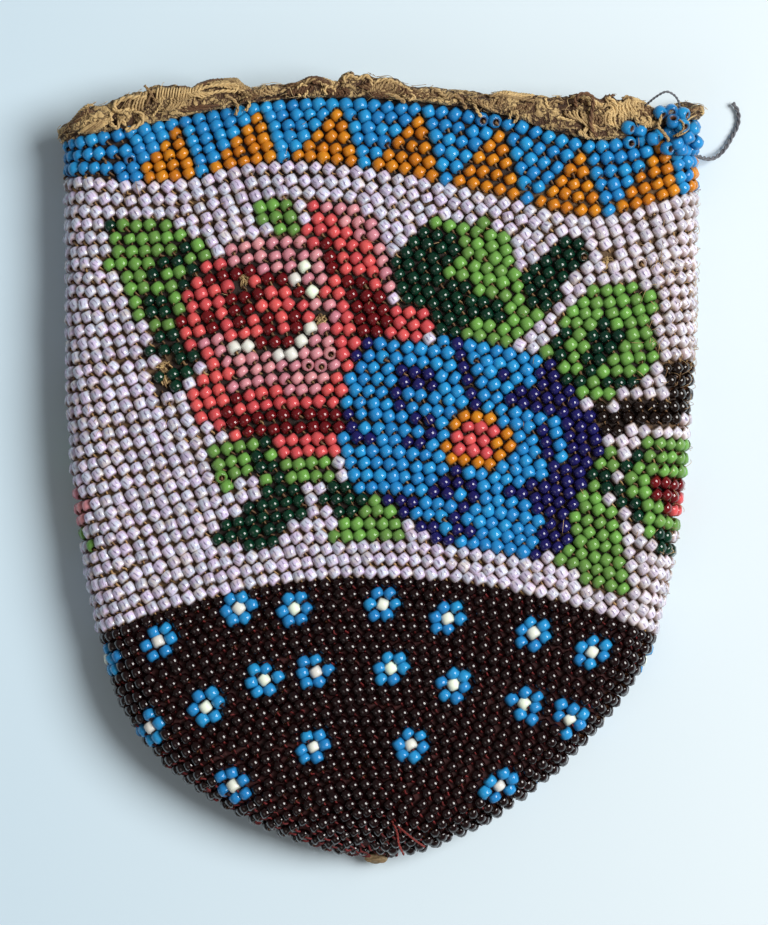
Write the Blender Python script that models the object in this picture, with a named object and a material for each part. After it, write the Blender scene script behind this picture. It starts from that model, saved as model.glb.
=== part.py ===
"""A bead-knitted purse that lies flat on its back, its mouth towards +Y and its front up.

The purse is a pouch knitted in the round with a glass bead in every stitch. It has a cloth
lining, a rolled knitted edging round the mouth, and a few loose ends of thread. Lengths below
are in millimetres. A course is one round of knitting. Its place is given by its reach, the
height of its middle above the tip, and a point on it by its share of the half width, from -1
at the left fold to 1 at the right fold.
"""

import math

import bmesh
import bpy
import numpy as np

MM = 0.001

# The pouch
PURSE_WIDTH = 90.4
PURSE_LENGTH = 107.5
SHOULDER_WIDTH = 82.0
TAPER_LENGTH = 40.0
TAPER_POWER = 1.6
WIDENING_START = 35.0
SIDE_LEAN = 0.8
BASE_LEAN = 1.6
BASE_LEAN_LENGTH = 30.0
SIDE_RADIUS = 5.5
TIP_LENGTH = 11.0
TIP_FLATNESS = 0.85
TIP_HOLE_REACH = 1.4
TIP_THICKENING = 1.5
FRONT_RISE = 1.5

# The knitting
COURSE_PITCH = 1.63
BEAD_RELIEF = 0.6
KNIT_WALL = 1.1
TIP_SAG = 8.7
TIP_SAG_REACH = 9.8
GARNET_REACH = 40.5
BAND_REACH = 97.5
TRIANGLE_PITCH = 11.2
TRIANGLE_WIDTH = 10.1

# How far the courses hang below their middle, at even steps from the left fold to the right
BAND_SAGS = (0.6, 1.3, -1.3, 0.0, 3.2, 6.3, 2.1)
MOUTH_SAGS = (7.9, 2.8, 0.1, 0.0, 1.8, 5.6, 2.2)

# The flat spot that the purse rests on, in the middle of its back
REST_WIDTH = 30.0
REST_LOW = 44.0
REST_HIGH = 68.0

# The lining and the edging
FIT_GAP = 0.3
LINING_WALL = 0.5
EDGING_DEPTH = 2.2
EDGING_LUMPS = 13
EDGING_LUMP_DEPTH = 0.4
BACK_EDGING_HEIGHT = 3.0

# The worn edging's height over the front, at even steps from the left fold to the right
EDGING_HEIGHTS = (5.4, 4.9, 3.0, 3.1, 3.5, 6.2, 2.0)

# The nub of lining that shows in the worn hole at the tip, and the loose thread
NUB_WIDTH = 3.4
NUB_LENGTH = 1.6
NUB_HEIGHT = 2.4
THREAD_DIAMETER = 0.45
FINE_THREAD_DIAMETER = 0.3

# The beads that have slipped out of the knitting at the corner
BEAD_DIAMETER = 1.8
BEAD_LENGTH = 1.5
STRAND_BEADS = 6

STRAND_LIFT = 1.25
STRAND_ROUTE = ((0.84, -1.2), (0.88, 0.8), (0.95, 1.8), (1.02, 1.4), (1.06, -0.6), (1.04, -2.6))

# The thread ends over the tip, by reach and share
TIP_THREAD_ROUTES = (((6.6, 0.16), (5.0, 0.26), (3.4, 0.5)), ((6.0, 0.38), (5.2, 0.62), (4.8, 0.9)))

# The routes of the other ends, as steps from where they leave the purse
LOOP_TUCK = 0.8
LOOP_PLACE = 0.74
LOOP_STEPS = ((0, 0, 0), (0.2, 1.8, 0.3), (0.1, 4.2, 0.3), (-0.6, 5.8, 0.2), (-1.7, 5.4, 0.2), (-1.4, 4.3, 0.2))
CORNER_TUCK = 5.2
CORNER_TURN = 40
CORNER_STEPS = ((2.6, -1.2, 4.0), (5.2, 1.2, 1.0), (7.0, 4.6, 0.1), (6.4, 7.0, 0.4))
ARC_START = 0.9
ARC_TURN = 60
ARC_HEIGHT = 2.0
ARC_LIFT = 0.5

FRONT_STEPS = 14
FOLD_STEPS = 4
BACK_STEPS = 8
EDGING_SIDES = 8
INNER_RINGS = 12
INNER_SPACING = 1.5
PATH_STEPS = 5
STRAND_STEPS = 6


def smooth_step(share):
    share = np.clip(share, 0, 1)
    return share * share * (3 - 2 * share)


def curve_through(values, share):
    """A smooth curve through values at even steps of share from -1 to 1 (Catmull-Rom)."""
    ends = (2 * values[0] - values[1], *values, 2 * values[-1] - values[-2])
    knots = np.array(ends)
    place = (np.clip(share, -1, 1) + 1) / 2 * (len(values) - 1)
    step = np.minimum(place.astype(int), len(values) - 2)
    t = place - step
    before, start, end, after = (knots[step + i] for i in range(4))
    slope = (end - before) / 2
    bend = before - 2.5 * start + 2 * end - 0.5 * after
    twist = 1.5 * (start - end) + 0.5 * (after - before)
    return start + slope * t + bend * t**2 + twist * t**3


def outline_half_width(height):
    """Half the width of the purse seen from above, at a height above the tip."""
    taper = np.clip(height / TAPER_LENGTH, 0, 1)
    rounded = (1 - (1 - taper) ** 2) ** (1 / TAPER_POWER)
    left = 1 - np.clip((height - WIDENING_START) / (PURSE_LENGTH - WIDENING_START), 0, 1)
    return SHOULDER_WIDTH / 2 * rounded + (PURSE_WIDTH - SHOULDER_WIDTH) / 2 * (1 - left**3)


def middle_line(height):
    """Where the purse's middle lies in X: the worn base bulges to the left, the mouth to the right."""
    bulge = np.sin(math.pi * np.clip(height / BASE_LEAN_LENGTH, 0, 1))
    return SIDE_LEAN * height / PURSE_LENGTH - BASE_LEAN * bulge


def course_sag(reach, share):
    """How far a course hangs below its middle: a parabola in the base, guide curves above."""
    base = TIP_SAG * (1 - math.exp(-reach / TIP_SAG_REACH)) * share**2
    if reach <= GARNET_REACH:
        return base
    band = curve_through(BAND_SAGS, share)
    if reach <= BAND_REACH:
        part = (reach - GARNET_REACH) / (BAND_REACH - GARNET_REACH)
        return base + (band - base) * part
    part = min(1, (reach - BAND_REACH) / (PURSE_LENGTH - BAND_REACH))
    return band + (curve_through(MOUTH_SAGS, share) - band) * part


def fold_radius(reach):
    """The radius of the side folds: full in the body, shrinking to the tip like a round end."""
    left = 1 - min(reach / TIP_LENGTH, 1)
    body = SIDE_RADIUS * math.sqrt(1 - left**2)
    ends = course_sag(reach, np.array([-1.0, 1.0]))
    narrowest = outline_half_width(reach - ends).min()
    return min(body, TIP_FLATNESS * narrowest)


def round_stations():
    """The stations of one round, from the left fold over the front: share of the flat, out, up."""
    stations = [(share, 0.0, 1.0) for share in np.linspace(-1, 1, FRONT_STEPS + 1)[:-1]]
    turns = np.linspace(math.pi / 2, -math.pi / 2, FOLD_STEPS + 1)[:-1]
    stations += [(1.0, math.cos(turn), math.sin(turn)) for turn in turns]
    stations += [(share, 0.0, -1.0) for share in np.linspace(1, -1, BACK_STEPS + 1)[:-1]]
    stations += [(-1.0, -math.cos(turn), -math.sin(turn)) for turn in turns]
    return np.array(stations)


def on_round(reach, stations, inset):
    """Points on the round at this reach, set in from the beads' crests by inset."""
    flat, out, up = stations.T
    side = np.where(flat + out < 0, -1.0, 1.0)
    end_sags = course_sag(reach, np.array([-1.0, 1.0]))
    left, right = outline_half_width(reach - end_sags)
    half = np.where(side < 0, left, right)
    radius = fold_radius(reach)
    offset = flat * (half - radius) + out * (radius - inset)
    sag = course_sag(reach, offset / half)
    height = reach - sag
    x = offset + middle_line(height)
    rise = FRONT_RISE * (1 - flat**2) * np.clip(up, 0, 1) * smooth_step(reach / TAPER_LENGTH)
    z = radius + up * (radius - inset) + rise
    return np.stack([x, height, z], axis=1)


def over_front(reach, share, above):
    """A point over the front at this reach and share of the flat, at a height above the beads."""
    return on_round(reach, np.array([[share, 0.0, 1.0]]), -above)[0]


def over_right_fold(reach, turn, above):
    """A point over the right fold, its turn in degrees up from the fold's middle."""
    angle = math.radians(turn)
    return on_round(reach, np.array([[1.0, math.cos(angle), math.sin(angle)]]), -above)[0]


def inner_start(inset):
    """The reach at which a surface set in by inset can close, a little above the tip."""
    closed = (inset + FIT_GAP) / SIDE_RADIUS
    return TIP_LENGTH * (1 - math.sqrt(1 - closed**2)) + TIP_THICKENING * inset


def rests_flat(point, station):
    """Whether a point of the back lies in the flat spot that the purse rests on."""
    x, height, _ = point
    return station[2] == -1 and abs(x) < REST_WIDTH / 2 and REST_LOW < height < REST_HIGH


def beaded_round(reach, stations, inset):
    """A round of the outer surface. Between two courses it is set in, except in the rest patch."""
    crests = on_round(reach, stations, 0.0)
    rows = on_round(reach, stations, inset)
    flat = [rests_flat(*pair) for pair in zip(crests, stations)]
    return np.where(np.array(flat)[:, None], crests, rows)


def outer_rounds(stations):
    """Crest and valley rounds, course by course, from the hole at the tip to the mouth."""
    yield on_round(TIP_HOLE_REACH, stations, BEAD_RELIEF)
    courses = round((PURSE_LENGTH - TIP_HOLE_REACH) / COURSE_PITCH)
    pitch = (PURSE_LENGTH - TIP_HOLE_REACH) / courses
    for course in range(courses):
        low = TIP_HOLE_REACH + course * pitch
        yield on_round(low + pitch / 2, stations, 0.0)
        yield beaded_round(min(low + pitch, PURSE_LENGTH), stations, BEAD_RELIEF)


def smooth_rounds(stations, inset):
    """Plain rounds of a surface set in by inset, from the mouth down to its closed end."""
    end = inner_start(inset)
    for share in np.linspace(1, 0, INNER_RINGS, endpoint=False) ** INNER_SPACING:
        if share * PURSE_LENGTH > end:
            yield on_round(share * PURSE_LENGTH, stations, inset)
    yield on_round(end, stations, inset)


def plain_material(name, colour, roughness=0.6):
    material = bpy.data.materials.new(name)
    material.use_nodes = True
    shader = material.node_tree.nodes["Principled BSDF"]
    shader.inputs["Base Color"].default_value = (*colour, 1)
    shader.inputs["Roughness"].default_value = roughness
    material.diffuse_color = (*colour, 1)
    return material


def add_object(name, data, materials):
    thing = bpy.data.objects.new(name, data)
    bpy.context.collection.objects.link(thing)
    for material in materials:
        data.materials.append(material)
    return thing


def skin_rounds(name, rounds, materials, field_of=None):
    """One closed body through the rounds in order, with a point at each end."""
    mesh = bmesh.new()
    rows = [[mesh.verts.new(point * MM) for point in ring] for ring in rounds]
    for row, following in zip(rows, rows[1:]):
        for i in range(len(row)):
            j = (i + 1) % len(row)
            face = mesh.faces.new((row[i], row[j], following[j], following[i]))
            face.smooth = True
            if field_of:
                face.material_index = field_of(face.calc_center_median() / MM)
    for row in (rows[0], rows[-1]):
        middle = sum((vert.co for vert in row), start=row[0].co * 0) / len(row)
        pole = mesh.verts.new(middle)
        for i in range(len(row)):
            mesh.faces.new((pole, row[i], row[(i + 1) % len(row)]))
    bmesh.ops.recalc_face_normals(mesh, faces=mesh.faces)
    data = bpy.data.meshes.new(name)
    mesh.to_mesh(data)
    mesh.free()
    return add_object(name, data, materials)


# The pattern: each field is a slanting ellipse on the front, given by the place of its middle,
# its half sizes and its slant in degrees. A later field lies over an earlier one.
OPAL, SKY, GOLD, GARNET, CORAL, LEAF, DEEP_LEAF, STEM = range(8)
MOTIF_FIELDS = (
    (LEAF, -31.0, 84.0, 9.0, 4.5, -35),
    (LEAF, 14.0, 83.5, 10.0, 8.0, 20),
    (DEEP_LEAF, 8.0, 82.0, 4.0, 6.5, 60),
    (LEAF, 33.0, 73.5, 8.5, 7.0, -10),
    (DEEP_LEAF, 26.5, 83.5, 4.5, 2.5, 35),
    (STEM, 38.0, 65.5, 8.0, 1.4, 5),
    (LEAF, 29.0, 49.0, 5.0, 7.5, 15),
    (LEAF, 38.0, 55.0, 6.5, 5.0, 0),
    (CORAL, 43.0, 51.5, 3.5, 2.2, 0),
    (LEAF, -15.0, 56.0, 8.0, 3.0, -5),
    (DEEP_LEAF, -15.0, 49.5, 7.0, 3.5, 10),
    (DEEP_LEAF, -5.5, 52.5, 4.5, 4.5, 0),
    (CORAL, -17.5, 71.5, 15.0, 14.0, 0),
    (CORAL, -3.5, 80.0, 6.0, 11.0, 15),
    (SKY, 12.5, 59.5, 17.0, 15.0, -10),
    (GOLD, 13.7, 59.7, 4.3, 4.3, 0),
    (CORAL, 13.7, 59.7, 2.2, 2.2, 0),
)
FLORETS = (
    (-20.0, 36.0), (-11.0, 36.7), (1.3, 36.7), (10.1, 35.3), (22.5, 33.0), (30.3, 30.1), (-30.0, 30.8),
    (-37.7, 28.4), (-16.5, 26.5), (-8.4, 27.0), (1.8, 27.6), (10.1, 25.4), (20.0, 23.0), (-24.3, 22.0),
    (-31.8, 18.9), (27.7, 19.8), (-9.1, 16.8), (4.5, 16.2), (-20.1, 10.8), (17.4, 11.3),
)
FLORET_RADIUS = 2.6


def inside_ellipse(x, height, field):
    _, middle_x, middle_height, wide, tall, slant = field
    turn = math.radians(slant)
    along = (x - middle_x) * math.cos(turn) + (height - middle_height) * math.sin(turn)
    across = (height - middle_height) * math.cos(turn) - (x - middle_x) * math.sin(turn)
    return (along / wide) ** 2 + (across / tall) ** 2 < 1


def bead_field(point):
    """Which colour of bead a place holds. The back repeats the front as seen from behind."""
    x = point.x if point.z > SIDE_RADIUS else -point.x
    height = point.y
    share = max(-1.0, min(1.0, 2 * x / PURSE_WIDTH))
    band_sag = float(curve_through(BAND_SAGS, np.array([share]))[0])
    if height > BAND_REACH - band_sag:
        rise = (height - BAND_REACH + band_sag) / (PURSE_LENGTH - BAND_REACH)
        from_middle = abs(x % TRIANGLE_PITCH - TRIANGLE_PITCH / 2)
        return GOLD if from_middle < TRIANGLE_WIDTH / 2 * (1 - rise) else SKY
    if height < GARNET_REACH - TIP_SAG * share**2:
        near = any(math.hypot(x - a, height - b) < FLORET_RADIUS for a, b in FLORETS)
        return SKY if near else GARNET
    found = [field[0] for field in MOTIF_FIELDS if inside_ellipse(x, height, field)]
    return found[-1] if found else OPAL


def bead_materials():
    return [
        plain_material("opal_beads", (0.72, 0.70, 0.76), 0.25),
        plain_material("sky_beads", (0.07, 0.33, 0.68), 0.3),
        plain_material("gold_beads", (0.80, 0.33, 0.04), 0.35),
        plain_material("garnet_beads", (0.05, 0.008, 0.012), 0.15),
        plain_material("coral_beads", (0.62, 0.09, 0.11), 0.3),
        plain_material("leaf_beads", (0.17, 0.36, 0.07), 0.3),
        plain_material("deep_leaf_beads", (0.01, 0.08, 0.03), 0.2),
        plain_material("stem_beads", (0.04, 0.015, 0.01), 0.2),
    ]


def make_pouch():
    """The knitted pouch: a course of beads is a ridge outside, and the inside is plain knitting."""
    stations = round_stations()
    wall = BEAD_RELIEF + KNIT_WALL
    rounds = [*outer_rounds(stations), *smooth_rounds(stations, wall)]
    return skin_rounds("beaded_pouch", rounds, bead_materials(), bead_field)


def make_lining():
    """A thin cloth bag inside the pouch, sewn to it at the mouth."""
    stations = round_stations()
    outer = BEAD_RELIEF + KNIT_WALL + FIT_GAP
    inner = outer + LINING_WALL
    upward = [*smooth_rounds(stations, outer)][::-1]
    rounds = [*upward, *smooth_rounds(stations, inner)]
    return skin_rounds("lining_bag", rounds, [plain_material("lining_cloth", (0.35, 0.24, 0.13), 0.9)])


def edging_heights(stations):
    """The roll's height at each station: the guide heights over the front, plain behind."""
    flat, _, up = stations.T
    front = curve_through(EDGING_HEIGHTS, flat)
    return BACK_EDGING_HEIGHT + (front - BACK_EDGING_HEIGHT) * np.clip(0.5 + up / 2, 0, 1)


def make_edging():
    """The rolled edging, an oval roll that follows the mouth and swells into worn lumps.

    The roll's middle line runs over the middle of the walls, and outward is one millimetre out
    from it at each station.
    """
    stations = round_stations()
    seat = (BEAD_RELIEF + KNIT_WALL + FIT_GAP + LINING_WALL) / 2
    path = on_round(PURSE_LENGTH, stations, seat)
    outward = on_round(PURSE_LENGTH, stations, seat - 1) - path
    around = np.arange(len(path)) / len(path) * 2 * math.pi
    lumps = 1 - EDGING_LUMP_DEPTH / 2 * (1 + np.sin(EDGING_LUMPS * around)) / 2
    tall = edging_heights(stations) / 2 * lumps
    deep = EDGING_DEPTH / 2 * lumps
    up = np.array([0.0, 1.0, 0.0])
    mesh = bmesh.new()
    rows = []
    for turn in np.arange(EDGING_SIDES) / EDGING_SIDES * 2 * math.pi:
        lift = FIT_GAP + tall * (1 + math.cos(turn))
        ring = path + outward * (deep * math.sin(turn))[:, None] + lift[:, None] * up
        rows.append([mesh.verts.new(point * MM) for point in ring])
    for row, following in zip(rows, rows[1:] + rows[:1]):
        for i in range(len(row)):
            j = (i + 1) % len(row)
            mesh.faces.new((row[i], row[j], following[j], following[i])).smooth = True
    bmesh.ops.recalc_face_normals(mesh, faces=mesh.faces)
    data = bpy.data.meshes.new("mouth_edging")
    mesh.to_mesh(data)
    mesh.free()
    return add_object("mouth_edging", data, [plain_material("edging_silk", (0.30, 0.19, 0.09), 0.85)])


def make_nub():
    """The end of the lining, a small nub that fills the worn hole at the tip."""
    mesh = bmesh.new()
    bmesh.ops.create_uvsphere(mesh, u_segments=12, v_segments=7, radius=0.5 * MM)
    bmesh.ops.scale(mesh, vec=(NUB_WIDTH, NUB_LENGTH, NUB_HEIGHT), verts=mesh.verts)
    hole = fold_radius(TIP_HOLE_REACH)
    place = (0.0, TIP_HOLE_REACH - FIT_GAP - NUB_LENGTH / 2, max(hole, NUB_HEIGHT / 2))
    bmesh.ops.translate(mesh, vec=[value * MM for value in place], verts=mesh.verts)
    data = bpy.data.meshes.new("lining_nub")
    mesh.to_mesh(data)
    mesh.free()
    return add_object("lining_nub", data, [plain_material("nub_cloth", (0.28, 0.17, 0.09), 0.9)])


def smooth_path(points, steps):
    """Points along a smooth curve through the given ones (Catmull-Rom)."""
    points = np.array(points, float)
    knots = np.vstack([2 * points[0] - points[1], points, 2 * points[-1] - points[-2]])
    shares = np.linspace(0, 1, steps, endpoint=False)[:, None]
    found = []
    for before, start, end, after in zip(knots, knots[1:], knots[2:], knots[3:]):
        bend = before - 2.5 * start + 2 * end - 0.5 * after
        twist = 1.5 * (start - end) + 0.5 * (after - before)
        found.append(start + (end - before) / 2 * shares + bend * shares**2 + twist * shares**3)
    return np.vstack([*found, points[-1:]])


def make_round_thread(name, path, radii, material):
    """A round section along a path, with its own radius at each point and closed ends."""
    curve = bpy.data.curves.new(name, "CURVE")
    curve.dimensions = "3D"
    curve.bevel_depth = MM
    curve.bevel_resolution = 1
    curve.use_fill_caps = True
    spline = curve.splines.new("POLY")
    spline.points.add(len(path) - 1)
    for point, place, radius in zip(spline.points, path, radii):
        point.co = (*(place * MM), 1)
        point.radius = radius
    return add_object(name, curve, [material])


def make_thread(name, points, diameter, material):
    path = smooth_path(points, PATH_STEPS)
    return make_round_thread(name, path, [diameter / 2] * len(path), material)


def make_tip_threads():
    """Two red ends that lie over the beads just above the tip."""
    red = plain_material("red_thread", (0.25, 0.03, 0.03), 0.8)
    above = THREAD_DIAMETER / 2 + FIT_GAP
    left, right = [[over_front(*place, above) for place in route] for route in TIP_THREAD_ROUTES]
    return [
        make_thread("tip_thread_left", left, THREAD_DIAMETER, red),
        make_thread("tip_thread_right", right, THREAD_DIAMETER, red),
    ]


def make_edge_loop():
    """A brown end that comes out under the edging and curls back over it."""
    above = THREAD_DIAMETER / 2 + FIT_GAP
    start = over_front(PURSE_LENGTH - LOOP_TUCK, LOOP_PLACE, above)
    route = [start + np.array(step) for step in LOOP_STEPS]
    material = plain_material("brown_thread", (0.22, 0.12, 0.06), 0.85)
    return make_thread("edge_thread_loop", route, THREAD_DIAMETER, material)


def make_corner_threads():
    """Two grey ends at the right corner: one falls to the floor and one stands as a small arc."""
    grey = plain_material("grey_thread", (0.18, 0.19, 0.22), 0.85)
    start = over_right_fold(PURSE_LENGTH - CORNER_TUCK, CORNER_TURN, THREAD_DIAMETER / 2 + FIT_GAP)
    floor = THREAD_DIAMETER / 2
    route = [start, *((start[0] + x, start[1] + y, floor + z) for x, y, z in CORNER_STEPS)]
    above = STRAND_LIFT + BEAD_DIAMETER / 2 + FINE_THREAD_DIAMETER / 2 + FIT_GAP
    left = over_front(PURSE_LENGTH, ARC_START, above)
    right = over_right_fold(PURSE_LENGTH, ARC_TURN, above)
    top = (left + right) / 2 + np.array([0.0, ARC_HEIGHT, ARC_LIFT])
    return [
        make_thread("corner_thread", route, THREAD_DIAMETER, grey),
        make_thread("corner_thread_arc", [left, top, right], FINE_THREAD_DIAMETER, grey),
    ]


def make_bead_strand():
    """Beads that have slipped from the knitting, still strung, bunched over the right corner."""
    route = [over_front(PURSE_LENGTH + y, share, STRAND_LIFT) for share, y in STRAND_ROUTE]
    path = smooth_path(route, STRAND_STEPS * 2)
    lengths = np.linalg.norm(np.diff(path, axis=0), axis=1)
    travelled = np.concatenate([[0], np.cumsum(lengths)])
    pitch = travelled[-1] / STRAND_BEADS
    spots = np.linspace(0, travelled[-1], STRAND_BEADS * STRAND_STEPS + 1)
    path = np.stack([np.interp(spots, travelled, path[:, axis]) for axis in range(3)], axis=1)
    along = np.abs((spots / pitch) % 1 - 0.5) * pitch * 2 / BEAD_LENGTH
    bead = np.sqrt(np.clip(1 - along**2, 0, 1)) * BEAD_DIAMETER / 2
    radii = np.maximum(bead, FINE_THREAD_DIAMETER / 2)
    return make_round_thread("corner_bead_strand", path, radii, bead_materials()[SKY])


def centre_on_floor(things):
    """Move every piece so that the purse is centred on Z and its back touches Z = 0."""
    bpy.context.view_layer.update()
    graph = bpy.context.evaluated_depsgraph_get()
    corners = []
    for thing in things:
        mesh = thing.evaluated_get(graph).to_mesh()
        points = np.empty(len(mesh.vertices) * 3, np.float32)
        mesh.vertices.foreach_get("co", points)
        points = points.reshape(-1, 3)
        corners += [points.min(axis=0), points.max(axis=0)]
        thing.evaluated_get(graph).to_mesh_clear()
    low, high = np.min(corners, axis=0), np.max(corners, axis=0)
    for thing in things:
        thing.location = (-(low[0] + high[0]) / 2, -(low[1] + high[1]) / 2, -low[2])


def main():
    for thing in list(bpy.data.objects):
        bpy.data.objects.remove(thing, do_unlink=True)
    pieces = [make_pouch(), make_lining(), make_edging(), make_nub(), *make_tip_threads()]
    pieces += [make_edge_loop(), *make_corner_threads(), make_bead_strand()]
    centre_on_floor(pieces)


main()
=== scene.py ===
"""Dresses a bead-knitted purse: its glass beads, knitting, lining, worn edging and loose threads.

The beads lie in courses round the purse, and each gets its colour from a charted pattern of
flowers that is drawn here as patches and lines. Lengths are in millimetres from the purse's
tip, and place() turns them into the frame's metres. A course's place is given by its reach,
the height of its middle above the tip, and a place on it by its turn, which runs from 0 at
the left fold over the front to 0.5 at the right fold, and over the back to 1.
"""

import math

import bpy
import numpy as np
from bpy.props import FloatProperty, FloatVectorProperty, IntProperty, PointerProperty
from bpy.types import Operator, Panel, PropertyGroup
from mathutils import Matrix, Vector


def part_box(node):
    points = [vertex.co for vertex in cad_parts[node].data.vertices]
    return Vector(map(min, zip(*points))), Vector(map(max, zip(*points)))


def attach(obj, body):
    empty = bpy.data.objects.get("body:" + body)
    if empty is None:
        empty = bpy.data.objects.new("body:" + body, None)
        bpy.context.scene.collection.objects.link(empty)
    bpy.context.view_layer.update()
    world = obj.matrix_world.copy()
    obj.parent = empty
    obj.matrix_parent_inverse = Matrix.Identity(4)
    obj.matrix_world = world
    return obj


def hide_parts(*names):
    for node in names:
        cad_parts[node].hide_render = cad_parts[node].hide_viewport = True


bl_info = {
    "name": "Bead-knitted purse",
    "version": (1, 0, 0),
    "blender": (4, 5, 0),
    "location": "3D View > Sidebar > Purse",
    "description": "Builds the beads, knitting, lining, edging and threads of a knitted purse",
    "category": "Object",
}

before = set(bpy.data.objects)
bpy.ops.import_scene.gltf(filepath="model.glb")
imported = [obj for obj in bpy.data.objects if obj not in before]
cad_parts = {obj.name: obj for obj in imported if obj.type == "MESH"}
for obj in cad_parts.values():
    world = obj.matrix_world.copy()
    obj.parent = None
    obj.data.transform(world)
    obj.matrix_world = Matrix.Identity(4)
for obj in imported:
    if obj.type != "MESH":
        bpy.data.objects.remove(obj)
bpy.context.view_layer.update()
MM = 0.001
SETTLING = 0.25

# The pouch's form, as in the solid model
PURSE_WIDTH = 90.4
PURSE_LENGTH = 107.5
SHOULDER_WIDTH = 82.0
TAPER_LENGTH = 40.0
TAPER_POWER = 1.6
WIDENING_START = 35.0
SIDE_LEAN = 0.8
BASE_LEAN = 1.6
BASE_LEAN_LENGTH = 30.0
SIDE_RADIUS = 5.5
TIP_LENGTH = 11.0
TIP_FLATNESS = 0.85
TIP_HOLE_REACH = 1.4
FRONT_RISE = 1.5
TIP_SAG = 8.7
TIP_SAG_REACH = 9.8
GARNET_REACH = 40.5
BAND_REACH = 97.5
BAND_SAGS = (0.6, 1.3, -1.3, 0.0, 3.2, 6.3, 2.1)
MOUTH_SAGS = (5.9, 2.8, 0.1, 0.0, 1.8, 5.6, 2.2)
EDGING_DEPTH = 2.2
BACK_EDGING_HEIGHT = 3.0
WALL = 1.7

# The knitting: its courses, the beads in each of its six wedges, and how they lean. The first
# courses crowd together in plan, and there no two beads lie nearer than the least gap.
BASE_COURSES = 28
TIP_CROWDING = 0.5
TIP_CROWD_COURSES = 3.5
TIP_COURSES = 8
LEAST_GAP = 1.15
GROUND_COURSES = 34
BAND_COURSES = 6
WEDGES = 6
WEDGE_BEADS = 17
WEDGE_TURN = 1 / 12
BASE_PITCH = 1.72
GROUND_STEP = 0.28
STITCHES_LEANT = 9.36
BASE_STEP = STITCHES_LEANT / BASE_COURSES
BEAD_INSET = 0.9
CLOTH_INSET = 1.2

# The photograph's frame, which the pattern's places are given in
PIXEL = 0.140625
TIP_PIXEL = (376.0, 865.0)
PHOTO_SIZE = (768, 925)
CAMERA_LENS = 100.0
CAMERA_SENSOR = 24.0
CAMERA_DISTANCE = PHOTO_SIZE[1] * PIXEL * CAMERA_LENS / CAMERA_SENSOR
FLOOR_REACH = 1.5

KINDS = ("opal", "sky", "navy", "gold", "garnet", "ruby",
         "coral", "pink", "leaf", "deep_leaf", "stem", "chalk")
OPAL, SKY, NAVY, GOLD, GARNET, RUBY, CORAL, PINK, LEAF, DEEP_LEAF, STEM, CHALK = range(12)

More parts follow.
